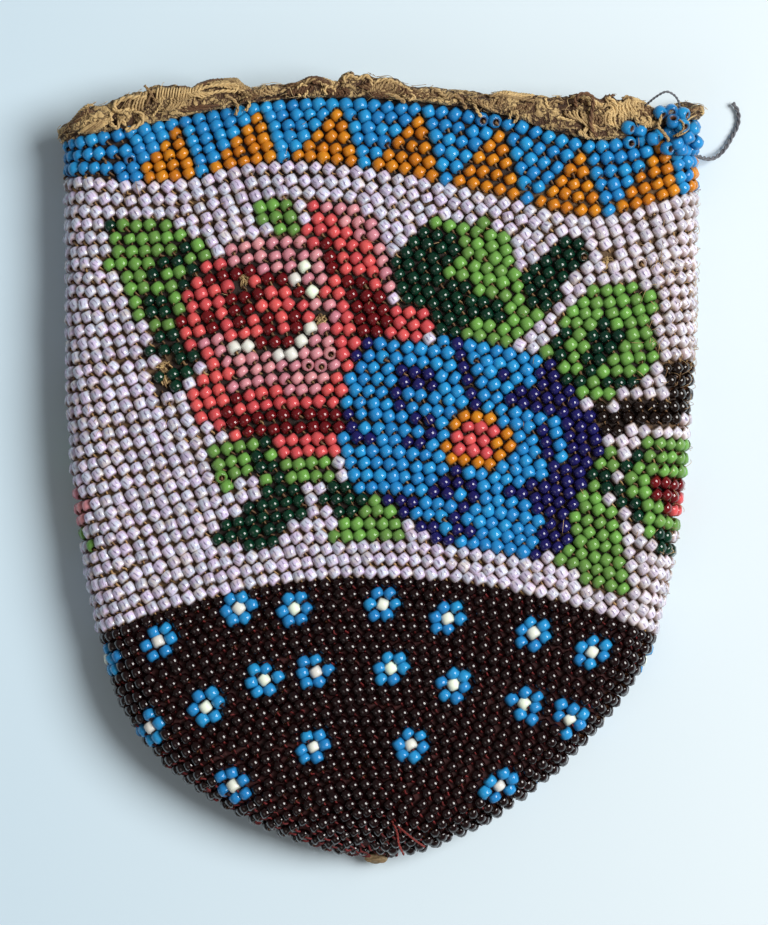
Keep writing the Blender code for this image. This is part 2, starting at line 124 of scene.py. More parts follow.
# The pattern's fields of colour, each inside an outline. A later one lies over an earlier one.
PATCHES = (
    (LEAF, ((110, 214), (160, 216), (182, 230), (202, 242), (218, 250), (214, 266), (196, 268), (188, 290),
            (180, 318), (172, 326), (128, 326), (122, 300), (112, 275), (106, 255), (108, 238))),
    (LEAF, ((248, 198), (291, 196), (296, 232), (282, 232), (262, 225), (248, 212))),
    (LEAF, ((440, 217), (490, 222), (508, 240), (520, 265), (526, 300), (552, 312), (530, 328), (510, 342),
            (486, 350), (442, 348), (400, 300), (392, 260), (412, 228))),
    (DEEP_LEAF, ((414, 226), (456, 228), (458, 254), (446, 262), (446, 280), (472, 290), (507, 308),
                 (510, 320), (478, 313), (464, 322), (452, 342), (432, 342), (418, 322), (402, 306),
                 (397, 285), (391, 258), (402, 240))),
    (DEEP_LEAF, ((556, 236), (580, 243), (592, 258), (575, 270), (570, 284), (556, 297), (540, 311),
                 (528, 306), (523, 272), (538, 254))),
    (LEAF, ((600, 286), (630, 286), (650, 296), (656, 318), (662, 345), (652, 366), (640, 373), (612, 376),
            (614, 394), (565, 396), (556, 376), (536, 366), (538, 346), (556, 334), (562, 312),
            (580, 296))),
    (STEM, ((640, 398), (662, 396), (666, 366), (692, 360), (702, 370), (700, 402), (688, 412), (672, 424),
            (630, 425), (624, 437), (606, 436), (602, 422), (576, 415), (578, 404), (612, 407))),
    (LEAF, ((593, 444), (618, 446), (622, 470), (602, 478), (592, 470))),
    (LEAF, ((640, 436), (700, 436), (702, 476), (656, 478), (654, 500), (628, 502), (614, 482),
            (634, 470))),
    (LEAF, ((642, 505), (668, 502), (688, 520), (690, 534), (650, 535), (640, 520))),
    (RUBY, ((650, 477), (700, 470), (698, 502), (694, 524), (678, 518), (655, 504))),
    (CORAL, ((680, 492), (700, 488), (698, 524), (676, 518), (666, 510))),
    (LEAF, ((590, 480), (602, 488), (606, 504), (620, 512), (622, 545), (628, 570), (630, 591), (612, 591),
            (580, 577), (553, 560), (555, 545), (562, 520), (560, 508), (576, 494))),
    (LEAF, ((206, 443), (286, 443), (300, 455), (338, 466), (338, 480), (300, 490), (258, 490), (256, 478),
            (232, 479), (228, 491), (218, 486), (212, 470))),
    (DEEP_LEAF, ((263, 487), (305, 487), (311, 506), (296, 522), (282, 530), (282, 547), (215, 547),
                 (214, 524), (232, 513), (252, 500))),
    (DEEP_LEAF, ((320, 482), (345, 478), (352, 466), (380, 466), (376, 500), (360, 510), (350, 524),
                 (332, 524), (322, 500))),
    (LEAF, ((379, 490), (388, 500), (410, 516), (406, 528), (398, 538), (329, 538), (334, 524), (352, 515),
            (366, 502))),
    (CORAL, ((305, 212), (318, 200), (350, 200), (378, 228), (392, 255), (396, 290), (384, 296), (384, 304),
             (408, 304), (442, 322), (434, 332), (420, 346), (400, 342), (340, 350), (326, 320), (322, 262),
             (306, 232))),
    (PINK, ((318, 199), (352, 200), (380, 228), (394, 255), (398, 292), (384, 291), (379, 270), (364, 240),
            (350, 226), (318, 213))),
    (RUBY, ((343, 277), (370, 281), (386, 296), (388, 338), (358, 341), (352, 315), (338, 297))),
    (CORAL, ((198, 268), (300, 238), (312, 250), (340, 270), (340, 300), (352, 345), (348, 380), (347, 446),
             (334, 458), (286, 458), (280, 443), (236, 443), (222, 432), (196, 418), (180, 404), (196, 388),
             (206, 372), (192, 356), (176, 336), (178, 318), (182, 300), (188, 282))),
    (RUBY, ((205, 268), (255, 262), (300, 268), (300, 350), (252, 346), (244, 326), (228, 322), (212, 326),
            (200, 318), (230, 300), (228, 284))),
    (PINK, ((222, 264), (230, 242), (268, 236), (300, 240), (312, 246), (334, 262), (334, 286), (320, 292),
            (296, 292), (284, 272), (268, 276), (256, 264))),
    (PINK, ((195, 345), (204, 336), (232, 336), (236, 346), (300, 346), (312, 336), (306, 298), (338, 296),
            (338, 312), (330, 330), (340, 356), (332, 378), (318, 400), (306, 392), (232, 391), (228, 370),
            (214, 356))),
    (RUBY, ((228, 404), (244, 404), (248, 418), (300, 404), (318, 412), (346, 404), (347, 431), (272, 430),
            (250, 440), (226, 430))),
    (SKY, ((366, 345), (385, 337), (455, 342), (520, 350), (556, 362), (570, 380), (572, 404), (592, 415),
           (600, 450), (592, 478), (574, 505), (566, 530), (566, 545), (548, 556), (505, 553), (478, 548),
           (455, 540), (425, 535), (408, 520), (388, 503), (352, 492), (342, 470), (340, 452), (345, 425),
           (345, 385), (352, 368))),
    (NAVY, ((530, 362), (556, 361), (571, 380), (573, 404), (593, 415), (601, 450), (592, 479), (574, 506),
            (567, 530), (567, 546), (548, 557), (528, 554), (540, 530), (536, 512), (518, 500), (496, 496),
            (522, 484), (546, 474), (546, 446), (532, 408), (508, 406), (512, 390), (534, 390))),
    (GOLD, ((450, 425), (462, 413), (500, 415), (512, 448), (504, 466), (458, 464), (440, 450))),
    (PINK, ((55, 490), (82, 488), (92, 515), (80, 529), (68, 527))),
)

# The veins, petal lines and single beads, each a route that colours the beads it meets
LINES = (
    (DEEP_LEAF, ((108, 231), (109, 232))),
    (DEEP_LEAF, ((139, 245), (140, 246))),
    (DEEP_LEAF, ((182, 248), (170, 261), (158, 271), (148, 282))),
    (DEEP_LEAF, ((198, 259), (189, 272), (180, 284), (184, 296))),
    (DEEP_LEAF, ((144, 306), (172, 308))),
    (DEEP_LEAF, ((156, 343), (173, 341), (176, 353), (182, 362), (184, 376), (171, 372))),
    (DEEP_LEAF, ((146, 355), (160, 355))),
    (DEEP_LEAF, ((195, 360), (196, 361))),
    (DEEP_LEAF, ((155, 379), (157, 391), (173, 391))),
    (DEEP_LEAF, ((626, 330), (618, 343), (598, 354), (587, 366))),
    (DEEP_LEAF, ((603, 330), (593, 343))),
    (DEEP_LEAF, ((564, 332), (556, 353))),
    (DEEP_LEAF, ((565, 374), (579, 378))),
    (DEEP_LEAF, ((603, 380), (630, 381))),
    (DEEP_LEAF, ((267, 446), (256, 461), (276, 472))),
    (DEEP_LEAF, ((640, 456), (629, 468))),
    (DEEP_LEAF, ((595, 475), (607, 478), (607, 490), (621, 493), (623, 506), (636, 510), (638, 523))),
    (DEEP_LEAF, ((664, 538), (667, 553))),
    (DEEP_LEAF, ((72, 547), (78, 561))),
    (LEAF, ((58, 470), (67, 470))),
    (LEAF, ((72, 534), (92, 542))),
    (RUBY, ((58, 484), (68, 483))),
    (RUBY, ((323, 248), (338, 266))),
    (CORAL, ((193, 284), (190, 308), (183, 333))),
    (CORAL, ((223, 284), (238, 284))),
    (CORAL, ((256, 284), (257, 285))),
    (CORAL, ((210, 294), (226, 295))),
    (CORAL, ((201, 308), (217, 308))),
    (CORAL, ((277, 295), (290, 296))),
    (CORAL, ((266, 309), (292, 308))),
    (CORAL, ((221, 318), (223, 330))),
    (CORAL, ((252, 318), (256, 332), (242, 339))),
    (CORAL, ((285, 319), (287, 329))),
    (CORAL, ((242, 409), (256, 411), (267, 397), (294, 397), (306, 402))),
    (CORAL, ((329, 396), (341, 394))),
    (CORAL, ((335, 281), (335, 291), (346, 307), (343, 318), (346, 331), (352, 342))),
    (CORAL, ((200, 397), (214, 398))),
    (RUBY, ((230, 398), (243, 397))),
    (RUBY, ((209, 283), (210, 284))),
    (RUBY, ((176, 322), (177, 323))),
    (RUBY, ((204, 321), (209, 328))),
    (NAVY, ((372, 343), (358, 354))),
    (NAVY, ((403, 377), (423, 379), (437, 382))),
    (NAVY, ((394, 387), (398, 400))),
    (NAVY, ((456, 347), (461, 362), (466, 374), (467, 386), (477, 410))),
    (NAVY, ((497, 378), (498, 379))),
    (NAVY, ((421, 417), (427, 430))),
    (NAVY, ((402, 439), (418, 440))),
    (NAVY, ((348, 416), (352, 426), (355, 438), (372, 438))),
    (NAVY, ((435, 487), (463, 488), (476, 491), (474, 479))),
    (NAVY, ((455, 466), (456, 467))),
    (NAVY, ((466, 503), (455, 512))),
    (NAVY, ((463, 528), (474, 528))),
    (NAVY, ((407, 499), (393, 498), (398, 510))),
    (NAVY, ((416, 522), (417, 523))),
    (NAVY, ((433, 533), (449, 536))),
    (SKY, ((538, 417), (554, 421), (556, 432), (560, 443), (564, 456))),
    (CORAL, ((482, 423), (483, 424))),
    (CORAL, ((455, 432), (470, 431), (484, 434), (499, 436))),
    (CORAL, ((460, 444), (474, 445), (489, 446), (482, 457))),
)
LINE_REACH = 6.6

# Single chalk beads, the lights of the rose
CHALK_SPOTS = (
    (301, 262), (301, 274), (299, 285), (313, 290), (309, 325), (302, 342), (292, 351), (279, 350),
    (246, 350), (231, 352),
)
FLORETS = (
    (108, 663), (162, 646), (234, 610), (297, 605), (385, 605), (448, 614), (536, 631), (592, 651),
    (259, 677), (316, 673), (389, 669), (448, 685), (518, 702), (203, 708), (150, 731), (573, 725),
    (311, 746), (408, 750), (233, 788), (500, 785),
)
PETALS = 6
TRIANGLE_BEADS = 6
TRIANGLE_SHIFT = 1
FIRST_TRIANGLE = 138

# Beads that stand turned in the worn knitting, and beads that it has lost
TURNED_SPOTS = (
    (131, 163), (82, 162), (99, 159), (69, 171), (87, 172), (108, 174), (309, 371), (323, 369), (331, 355),
    (583, 254), (215, 478), (645, 262), (635, 143), (484, 117), (500, 122),
)
LOST_SPOTS = ((318, 320), (163, 365), (166, 381), (246, 281), (606, 262))
TANGLE_STRANDS = 7

# The top of the edging as the photograph shows it, from left to right
EDGE_TOP = (
    (56, 132), (62, 127), (70, 121), (78, 113), (86, 107), (95, 107), (104, 106), (112, 101), (120, 98),
    (134, 95), (145, 94), (150, 90), (158, 88), (170, 88), (184, 89), (192, 92), (198, 88), (210, 84),
    (224, 82), (237, 82), (243, 88), (252, 91), (262, 88), (272, 86), (286, 87), (297, 85), (304, 82),
    (311, 79), (322, 81), (332, 85), (338, 86), (343, 79), (350, 76), (360, 79), (368, 76), (374, 80),
    (388, 80), (398, 82), (406, 88), (416, 89), (431, 89), (442, 92), (450, 94), (458, 93), (466, 96),
    (478, 96), (492, 97), (504, 95), (516, 97), (528, 98), (545, 99), (562, 99), (576, 98), (590, 100),
    (600, 104), (606, 99), (613, 97), (620, 101), (628, 98), (638, 102), (648, 107), (656, 112), (664, 118),
    (674, 124), (686, 132), (698, 136),
)

# The edging's own loops and ends: how light, the ply's radius, and the route over the photograph
EDGE_LOOPS = (
    (0.8, 0.36, ((147, 98), (132, 98), (120, 101), (114, 107), (119, 112), (131, 110), (141, 114),
                 (143, 121), (136, 127), (126, 131))),
    (0.7, 0.3, ((112, 113), (110, 122), (117, 128), (121, 120), (126, 126))),
    (0.2, 0.2, ((145, 86), (150, 92), (154, 99), (157, 104))),
    (0.9, 0.16, ((166, 94), (162, 103), (158, 110), (153, 117))),
    (0.9, 0.26, ((197, 92), (206, 88), (218, 86), (230, 85), (238, 87), (236, 92), (224, 92), (212, 94),
                 (202, 98))),
    (0.7, 0.24, ((240, 90), (246, 95), (250, 104), (246, 112))),
    (0.5, 0.24, ((226, 97), (234, 101), (238, 108), (236, 116))),
    (0.9, 0.24, ((300, 98), (298, 92), (301, 86), (306, 87), (307, 93), (304, 98))),
    (0.4, 0.3, ((304, 84), (312, 81), (322, 84), (329, 88), (338, 86))),
    (0.9, 0.24, ((326, 96), (325, 90), (330, 88), (335, 91), (333, 96))),
    (0.8, 0.28, ((344, 84), (345, 79), (351, 77), (358, 80), (366, 77), (371, 82), (372, 88))),
    (0.7, 0.28, ((374, 84), (384, 81), (394, 83), (402, 88), (410, 92), (414, 99), (408, 101))),
    (0.4, 0.3, ((374, 88), (382, 92), (391, 96), (400, 100), (405, 104))),
    (0.3, 0.3, ((430, 95), (434, 91), (440, 94), (446, 99), (453, 96), (460, 100), (466, 110))),
    (0.6, 0.24, ((468, 100), (473, 104), (477, 112), (481, 118))),
    (0.3, 0.26, ((489, 97), (500, 96), (510, 98), (522, 100), (534, 102))),
    (0.7, 0.22, ((509, 120), (511, 113), (516, 112), (517, 119), (513, 124))),
    (0.9, 0.22, ((545, 99), (547, 107), (553, 112), (560, 118), (569, 121), (578, 120))),
    (0.2, 0.22, ((548, 104), (556, 102), (563, 104))),
    (0.3, 0.26, ((597, 106), (602, 108), (607, 104), (606, 98))),
    (0.9, 0.28, ((608, 98), (614, 103), (616, 110), (612, 116), (607, 111))),
    (0.8, 0.26, ((619, 102), (622, 108), (620, 116), (626, 112), (632, 114))),
    (0.3, 0.22, ((622, 99), (627, 97), (632, 100), (630, 107))),
    (0.7, 0.26, ((634, 104), (640, 109), (646, 114), (650, 121), (648, 126))),
    (0.6, 0.26, ((640, 112), (636, 120), (643, 124), (651, 122))),
)
WOVEN_STRANDS = 15
WOVEN_START = 158
WOVEN_PITCH = 2.7
EDGING_FIBRES = 240
STITCH_STEPS = 9

# How finely the surfaces, the threads and the grid of random heights are divided
CLOTH_TURNS = 160
LINING_TURNS = 140
LINING_RINGS = 56
EDGING_TURNS = 760
EDGING_SIDES = 28
NUB_RINGS = 40
NUB_SIDES = 32
LOOP_STEPS = 38
CORNER_LOOP_STEPS = 30
THREAD_STEPS = 60
FLOOR_THREAD_STEPS = 90
SLIPPED_SIDES = 14
CLOUD_CELLS = 64

# Beads that have slipped out at the right corner, on their loose thread, and how high each lies
CORNER_BEADS = (
    (660, 113, 0.6), (671, 111, 0.4), (683, 114, 0.8), (672, 122, 1.5), (682, 126, 1.7), (694, 128, 0.7),
    (688, 138, 1.3), (698, 141, 0.3), (677, 144, 1.0), (667, 149, 0.7), (681, 150, 0.9), (653, 139, 0.3),
    (628, 128, 0.4), (640, 131, -0.3),
)

# The loose threads: the solid that each stands for, its silk, its radius, and its route over the
# photograph with heights over the front's crests, or over the floor for the corner's end
LOOSE_THREADS = (
    ("tip_thread_long", "tip_thread_left", "red", 0.15,
     ((392, 822, -3.2), (397, 833, -2.4), (399, 845, -2.2), (404, 856, -3.0))),
    ("tip_thread_short", "tip_thread_right", "red", 0.15,
     ((394, 824, -3.2), (404, 832, -2.3), (414, 840, -2.2), (425, 848, -3.0))),
    ("edging_ring", "edge_thread_loop", "brown", 0.26,
     ((576, 107, -0.3), (575, 101, 0.9), (579, 96, 1.4), (586, 95, 1.5), (592, 99, 1.3),
      (592, 108, 1.1), (590, 118, 1.0), (591, 129, 0.8), (597, 137, 0.2))),
    ("corner_end", "corner_thread", "grey", 0.28,
     ((686, 146, 7.0), (693, 153, 5.4), (703, 158, 3.6), (714, 158, 2.0), (724, 150, 1.0),
      (732, 137, 0.6), (738, 124, 0.5), (738, 112, 0.6), (733, 103, 0.8))),
    ("corner_arc", "corner_thread_arc", "grey", 0.16,
     ((645, 106, 0.4), (655, 98, 1.4), (665, 93, 1.9), (673, 96, 1.8), (678, 102, 1.4), (680, 110, 0.5))),
)
FLOOR_THREAD = "corner_end"

# The light and the dark colour of each loose thread's silk
SILKS = {
    "red": ((0.34, 0.045, 0.035), (0.10, 0.012, 0.012)),
    "brown": ((0.24, 0.12, 0.055), (0.05, 0.02, 0.01)),
    "grey": ((0.20, 0.21, 0.23), (0.05, 0.045, 0.06)),
}

# The threads among the slipped beads: each one's radius and route
CORNER_LOOPS = (
    (0.22, ((659, 111, 0.9), (660, 119, 1.3), (658, 127, 1.1), (663, 134, 1.2), (669, 141, 0.9))),
    (0.18, ((656, 128, 0.8), (661, 131, 1.3), (666, 137, 1.2), (668, 143, 0.6))),
    (0.15, ((678, 121, 2.6), (682, 125, 2.9), (682, 131, 2.5), (677, 135, 1.7), (673, 137, 0.9))),
    (0.13, ((689, 122, 1.6), (688, 129, 2.0), (683, 134, 1.9), (676, 137, 1.3))),
    (0.13, ((698, 113, 0.4), (690, 118, 1.2), (686, 122, 1.7))),
)

# Each kind of bead: its diameter, its length along the hole, and how square its ends are
BEAD_FORMS = {
    OPAL: (1.98, 1.74, 0.3), SKY: (2.04, 1.68, 0.2), NAVY: (1.88, 1.56, 0.2), GOLD: (1.88, 1.48, 0.3),
    GARNET: (1.80, 1.56, 0.3), RUBY: (1.86, 1.54, 0.3), CORAL: (1.94, 1.62, 0.2), PINK: (1.96, 1.40, 0.2),
    LEAF: (1.98, 1.66, 0.2), DEEP_LEAF: (1.88, 1.58, 0.2), STEM: (1.84, 1.54, 0.3), CHALK: (1.98, 1.72, 0.4),
}
BASE_BEAD_SCALE = 0.97


def smooth_step(share):
    """Eases 0 to 1: three times the share squared, less twice its cube."""
    share = np.clip(share, 0, 1)
    return share * share * (3 - 2 * share)


def curve_through(values, share):
    """A smooth curve through values at even steps of share from -1 to 1 (Catmull-Rom)."""
    knots = np.array((2 * values[0] - values[1], *values, 2 * values[-1] - values[-2]))
    place_on = (np.clip(share, -1, 1) + 1) / 2 * (len(values) - 1)
    step = np.minimum(place_on.astype(int), len(values) - 2)
    t = place_on - step
    before, start, end, after = (knots[step + i] for i in range(4))
    bend = before - 2.5 * start + 2 * end - 0.5 * after
    twist = 1.5 * (start - end) + 0.5 * (after - before)
    return start + (end - before) / 2 * t + bend * t**2 + twist * t**3


def half_width(height):
    """Half the purse's width at a height: a rounded base that goes on widening to the mouth."""
    taper = np.clip(height / TAPER_LENGTH, 0, 1)
    rounded = (1 - (1 - taper) ** 2) ** (1 / TAPER_POWER)
    left = 1 - np.clip((height - WIDENING_START) / (PURSE_LENGTH - WIDENING_START), 0, 1)
    return SHOULDER_WIDTH / 2 * rounded + (PURSE_WIDTH - SHOULDER_WIDTH) / 2 * (1 - left**3)


def middle_line(height):
    """How far the purse's middle lies to the right of the tip: a slow lean, less a sine over the base."""
    bulge = np.sin(math.pi * np.clip(height / BASE_LEAN_LENGTH, 0, 1))
    return SIDE_LEAN * height / PURSE_LENGTH - BASE_LEAN * bulge


def course_sag(reach, share):
    """How far a course hangs below its middle: a parabola in the base, guide curves above."""
    base = TIP_SAG * (1 - np.exp(-reach / TIP_SAG_REACH)) * share**2
    band = curve_through(BAND_SAGS, share)
    part = np.clip((reach - GARNET_REACH) / (BAND_REACH - GARNET_REACH), 0, 1)
    last = np.clip((reach - BAND_REACH) / (PURSE_LENGTH - BAND_REACH), 0, 1)
    return base + (band - base) * part + (curve_through(MOUTH_SAGS, share) - band) * last


def round_sides(reach):
    """Left and right half widths of the round at each reach, and the radius of its side folds."""
    ends = [half_width(reach - course_sag(reach, np.full(np.shape(reach), side))) for side in (-1.0, 1.0)]
    left = 1 - np.minimum(reach / TIP_LENGTH, 1)
    body = SIDE_RADIUS * np.sqrt(1 - left**2)
    return ends[0], ends[1], np.minimum(body, TIP_FLATNESS * np.minimum(*ends))


def unevenness(x, height):
    """How far the worn knitting stands out of its even form: slow crossing waves."""
    slow = np.sin(x / 6.3 + 1.1) * np.sin(height / 8.1 + 0.4) + np.sin(x / 11.0 - height / 9.0)
    quick = np.sin(x / 2.9 + height / 4.7) * np.sin(height / 3.3 - x / 7.0)
    return 0.12 * slow + 0.07 * quick


def around(reach, turn, inset, uneven=1.0):
    """Places on the rounds, set in from the beads' crests: flat over the front and back, with
    half circles at the folds. The front is raised a little in the middle."""
    reach, turn = np.broadcast_arrays(reach, turn)
    left, right, radius = round_sides(reach)
    quarter = math.pi / 2 * radius
    flat_left, flat_right = left - radius, right - radius
    length = flat_left + flat_right + 2 * quarter
    turn = turn % 1
    front = turn < 0.5
    along = np.where(front, turn, 1 - turn) * 2 * length
    on_left = along < quarter
    on_right = along > length - quarter
    angle = np.where(on_left, along, np.where(on_right, length - along, quarter)) / np.maximum(radius, 1e-6)
    out = np.cos(angle) * (on_left | on_right)
    lift = np.where(on_left | on_right, np.sin(angle), 1.0) * np.where(front, 1, -1)
    flat = np.clip(along - quarter - flat_left, -flat_left, flat_right)
    depth = inset - np.where(front, uneven * unevenness(flat, reach), 0)
    offset = flat + np.where(flat < 0, -1, 1) * out * (radius - depth)
    height = reach - course_sag(reach, offset / np.where(offset < 0, left, right))
    share = flat / np.where(flat < 0, flat_left, flat_right)
    rise = FRONT_RISE * (1 - share**2) * np.clip(lift, 0, 1) * smooth_step(reach / TAPER_LENGTH)
    z = radius + lift * (radius - depth) + rise
    return np.stack([offset + middle_line(height), height, z], axis=-1)


def unit(vectors):
    """Each vector divided by its length."""
    return vectors / np.maximum(np.linalg.norm(vectors, axis=-1, keepdims=True), 1e-12)


def directions(reach, turn):
    """Unit vectors at places on the rounds: along the course, up the purse, and out of it."""
    here = around(reach, turn, BEAD_INSET)
    along = unit(around(reach, turn + 0.002, BEAD_INSET) - here)
    out = unit(around(reach, turn, BEAD_INSET - 0.1) - here)
    out = unit(out - along * (out * along).sum(-1, keepdims=True))
    return along, np.cross(out, along), out


def frame_shift():
    """The move from the tip to the frame: it lays the beads' crests in the solid pouch's box."""
    reach, turn = np.meshgrid(np.linspace(TIP_HOLE_REACH, PURSE_LENGTH, 200), np.linspace(0, 1, 240))
    crests = around(reach, turn, 0.0, 0.0).reshape(-1, 3)
    low, high = (np.array(corner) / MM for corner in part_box("beaded_pouch"))
    shift = (low + high) / 2 - (crests.min(axis=0) + crests.max(axis=0)) / 2
    shift[2] = low[2] - crests[:, 2].min()
    return shift


SHIFT = frame_shift()


def place(points):
    """Millimetres from the tip become the frame's metres."""
    return (points + SHIFT) * MM


def settle(points):
    """Presses what would reach the floor flat on it: a height below the settling depth d becomes
    d times e to the power of height / d - 1, which stays over zero."""
    z = points[:, 2] + SHIFT[2]
    pressed = SETTLING * np.exp(np.minimum(z / SETTLING, 1) - 1)
    settled = points.copy()
    settled[:, 2] = np.where(z < SETTLING, pressed, z) - SHIFT[2]
    return settled


def at_pixel(px, py):
    """A place of the photograph in millimetres from the tip."""
    return (px - TIP_PIXEL[0]) * PIXEL, (TIP_PIXEL[1] - py) * PIXEL


def add_piece(name, points, faces, material, replaced=(), values=None):
    """A smooth mesh from points and arrays of faces, riding on the root body. Each of its values is
    one number for all points or one for each."""
    mesh = bpy.data.meshes.new(name)
    mesh.vertices.add(len(points))
    mesh.vertices.foreach_set("co", place(settle(points)).astype(np.float32).ravel())
    sizes = np.concatenate([np.full(len(part), part.shape[1]) for part in faces])
    corners = np.concatenate([part.ravel() for part in faces])
    mesh.loops.add(len(corners))
    mesh.loops.foreach_set("vertex_index", corners.astype(np.int32))
    mesh.polygons.add(len(sizes))
    mesh.polygons.foreach_set("loop_start", (np.cumsum(sizes) - sizes).astype(np.int32))
    mesh.update(calc_edges=True)
    mesh.shade_smooth()
    for key, value in (values or {}).items():
        value = np.broadcast_to(value, len(points)).astype(np.float32)
        mesh.attributes.new(key, "FLOAT", "POINT").data.foreach_set("value", value)
    mesh.materials.append(material)
    piece = bpy.data.objects.new(name, mesh)
    bpy.context.scene.collection.objects.link(piece)
    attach(piece, "root")
    if replaced:
        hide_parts(*replaced)
    return piece


def ring_faces(rings, sides, closed_rings=False):
    """Quads between rings of points, each closed round its sides."""
    rows = rings if closed_rings else rings - 1
    row, side = np.meshgrid(np.arange(rows), np.arange(sides), indexing="ij")
    following, beside = (row + 1) % rings, (side + 1) % sides
    quads = [row * sides + side, row * sides + beside, following * sides + beside, following * sides + side]
    return np.stack(quads, axis=-1).reshape(-1, 4)


def skin_rings(rings):
    """One closed skin through rings of points, with a pole at each end."""
    count, sides = rings.shape[:2]
    poles = np.array([rings[0].mean(axis=0), rings[-1].mean(axis=0)])
    points = np.concatenate([rings.reshape(-1, 3), poles])
    side = np.arange(sides)
    beside = (side + 1) % sides
    first = count * sides
    last = first + 1
    top = (count - 1) * sides
    fans = [np.stack([np.full(sides, first), beside, side], axis=1),
            np.stack([np.full(sides, last), top + side, top + beside], axis=1)]
    return points, [ring_faces(count, sides), np.concatenate(fans)]


def tubes(paths, radii, sides):
    """Round tubes along paths of equal counts of points, with closed ends."""
    paths = np.asarray(paths, float)
    count, steps = paths.shape[:2]
    tangent = unit(np.gradient(paths, axis=1))
    helper = np.where(np.abs(tangent[..., 2:]) > 0.9, [1.0, 0.0, 0.0], [0.0, 0.0, 1.0])
    side = unit(np.cross(tangent, helper))
    up = np.cross(side, tangent)
    turn = np.arange(sides) / sides * 2 * math.pi
    radii = np.broadcast_to(radii, (count, steps))[..., None, None]
    ring = np.cos(turn)[:, None] * side[..., None, :] + np.sin(turn)[:, None] * up[..., None, :]
    body = (paths[:, :, None] + radii * ring).reshape(count, -1, 3)
    points = np.concatenate([body, paths[:, :1], paths[:, -1:]], axis=1)
    per = steps * sides + 2
    starts = (np.arange(count) * per)[:, None, None]
    quads = (ring_faces(steps, sides)[:, ::-1][None] + starts).reshape(-1, 4)
    index = np.arange(sides)
    beside = (index + 1) % sides
    top = (steps - 1) * sides
    caps = np.concatenate([
        np.stack([np.full(sides, per - 2), index, beside], axis=1),
        np.stack([np.full(sides, per - 1), top + beside, top + index], axis=1),
    ])
    caps = (caps[None] + starts).reshape(-1, 3)
    return points.reshape(-1, 3), [quads, caps]


def smooth_path(points, steps):
    """Points along a smooth curve through the given ones (Catmull-Rom)."""
    points = np.array(points, float)
    share = (np.arange(len(points)) / (len(points) - 1)) * 2 - 1
    spots = np.linspace(share[0], share[-1], (len(points) - 1) * steps + 1)
    return np.stack([curve_through(points[:, axis], spots) for axis in range(3)], axis=1)


def cloud(u, v, seed):
    """Smooth random heights of about -1 to 1, a cell for each unit of u and v: corner values of a
    random grid, eased from one to the next."""
    grid = np.random.default_rng(seed).uniform(-1, 1, (CLOUD_CELLS, CLOUD_CELLS))
    column, row = np.floor(u).astype(int), np.floor(v).astype(int)
    du, dv = smooth_step(u - column), smooth_step(v - row)
    (low_left, high_left), (low_right, high_right) = (
        [grid[(column + i) % CLOUD_CELLS, (row + j) % CLOUD_CELLS] for j in (0, 1)] for i in (0, 1))
    low = low_left * (1 - du) + low_right * du
    high = high_left * (1 - du) + high_right * du
    return low * (1 - dv) + high * dv


def merge(parts):
    """One set of points and faces from several."""
    points, faces, start = [], [], 0
    for part_points, part_faces in parts:
        points.append(part_points)
        faces += [face + start for face in part_faces]
        start += len(part_points)
    return np.concatenate(points), faces


def twisted(paths, radius, pitch, plies=2, start=0.0):
    """The plies of twisted threads: each winds round the path at its radius, one turn a pitch."""
    paths = np.asarray(paths, float)
    tangent = unit(np.gradient(paths, axis=1))
    helper = np.where(np.abs(tangent[..., 2:]) > 0.9, [1.0, 0.0, 0.0], [0.0, 0.0, 1.0])
    side = unit(np.cross(tangent, helper))
    up = np.cross(side, tangent)
    steps = np.linalg.norm(np.diff(paths, axis=1), axis=-1)
    run = np.concatenate([np.zeros((len(paths), 1)), np.cumsum(steps, axis=1)], axis=1)
    wound = []
    for ply in range(plies):
        angle = (run / pitch + start + ply / plies) * 2 * math.pi
        wound.append(paths + radius * (np.cos(angle)[..., None] * side + np.sin(angle)[..., None] * up))
    return np.concatenate(wound)


def even_path(points, count):
    """A smooth curve through points, as a count of places at even distances along it."""
    fine = smooth_path(points, 24)
    run = np.concatenate([[0], np.cumsum(np.linalg.norm(np.diff(fine, axis=0), axis=1))])
    spots = np.linspace(0, run[-1], count)
    return np.stack([np.interp(spots, run, fine[:, axis]) for axis in range(3)], axis=1)


def plied_thread(path, radius, sides, pitch=6, thickness=0.62):
    """A two-ply thread along a path. Its pitch and its plies' thickness are shares of its radius."""
    return tubes(twisted(path[None], radius * 0.55, radius * pitch), radius * thickness, sides)


def front_level(x):
    """The height of the front's crests over the floor, which drops off round the side folds."""
    reach = np.full(np.shape(x), PURSE_LENGTH)
    left, right, radius = round_sides(reach)
    offset = x - middle_line(reach)
    flat = np.where(offset < 0, left, right) - radius
    share = np.clip(np.abs(offset) / flat, 0, 1)
    beyond = np.clip(np.abs(offset) - flat, 0, radius * 0.98)
    return radius + np.sqrt(radius**2 - beyond**2) + FRONT_RISE * (1 - share**2)


def on_front(route, lift=0.0):
    """Points over the front at places of the photograph, at a lift above its crests."""
    route = np.array(route, float)
    x, height = at_pixel(route[:, 0], route[:, 1])
    lifts = route[:, 2] if route.shape[1] > 2 else lift
    return np.stack([x, height, front_level(x) + lifts], axis=1)


def seen_at(route):
    """Places over the floor for points of the photograph, each with its height: what lies lower
    than the front's crests looks smaller from the camera, so it lies further out."""
    px, py, z = np.array(route, float).T
    spread = 1 + (2 * SIDE_RADIUS - z) / CAMERA_DISTANCE
    x, height = at_pixel(PHOTO_SIZE[0] / 2 + (px - PHOTO_SIZE[0] / 2) * spread,
                         PHOTO_SIZE[1] / 2 + (py - PHOTO_SIZE[1] / 2) * spread)
    return np.stack([x, height, z], axis=1)


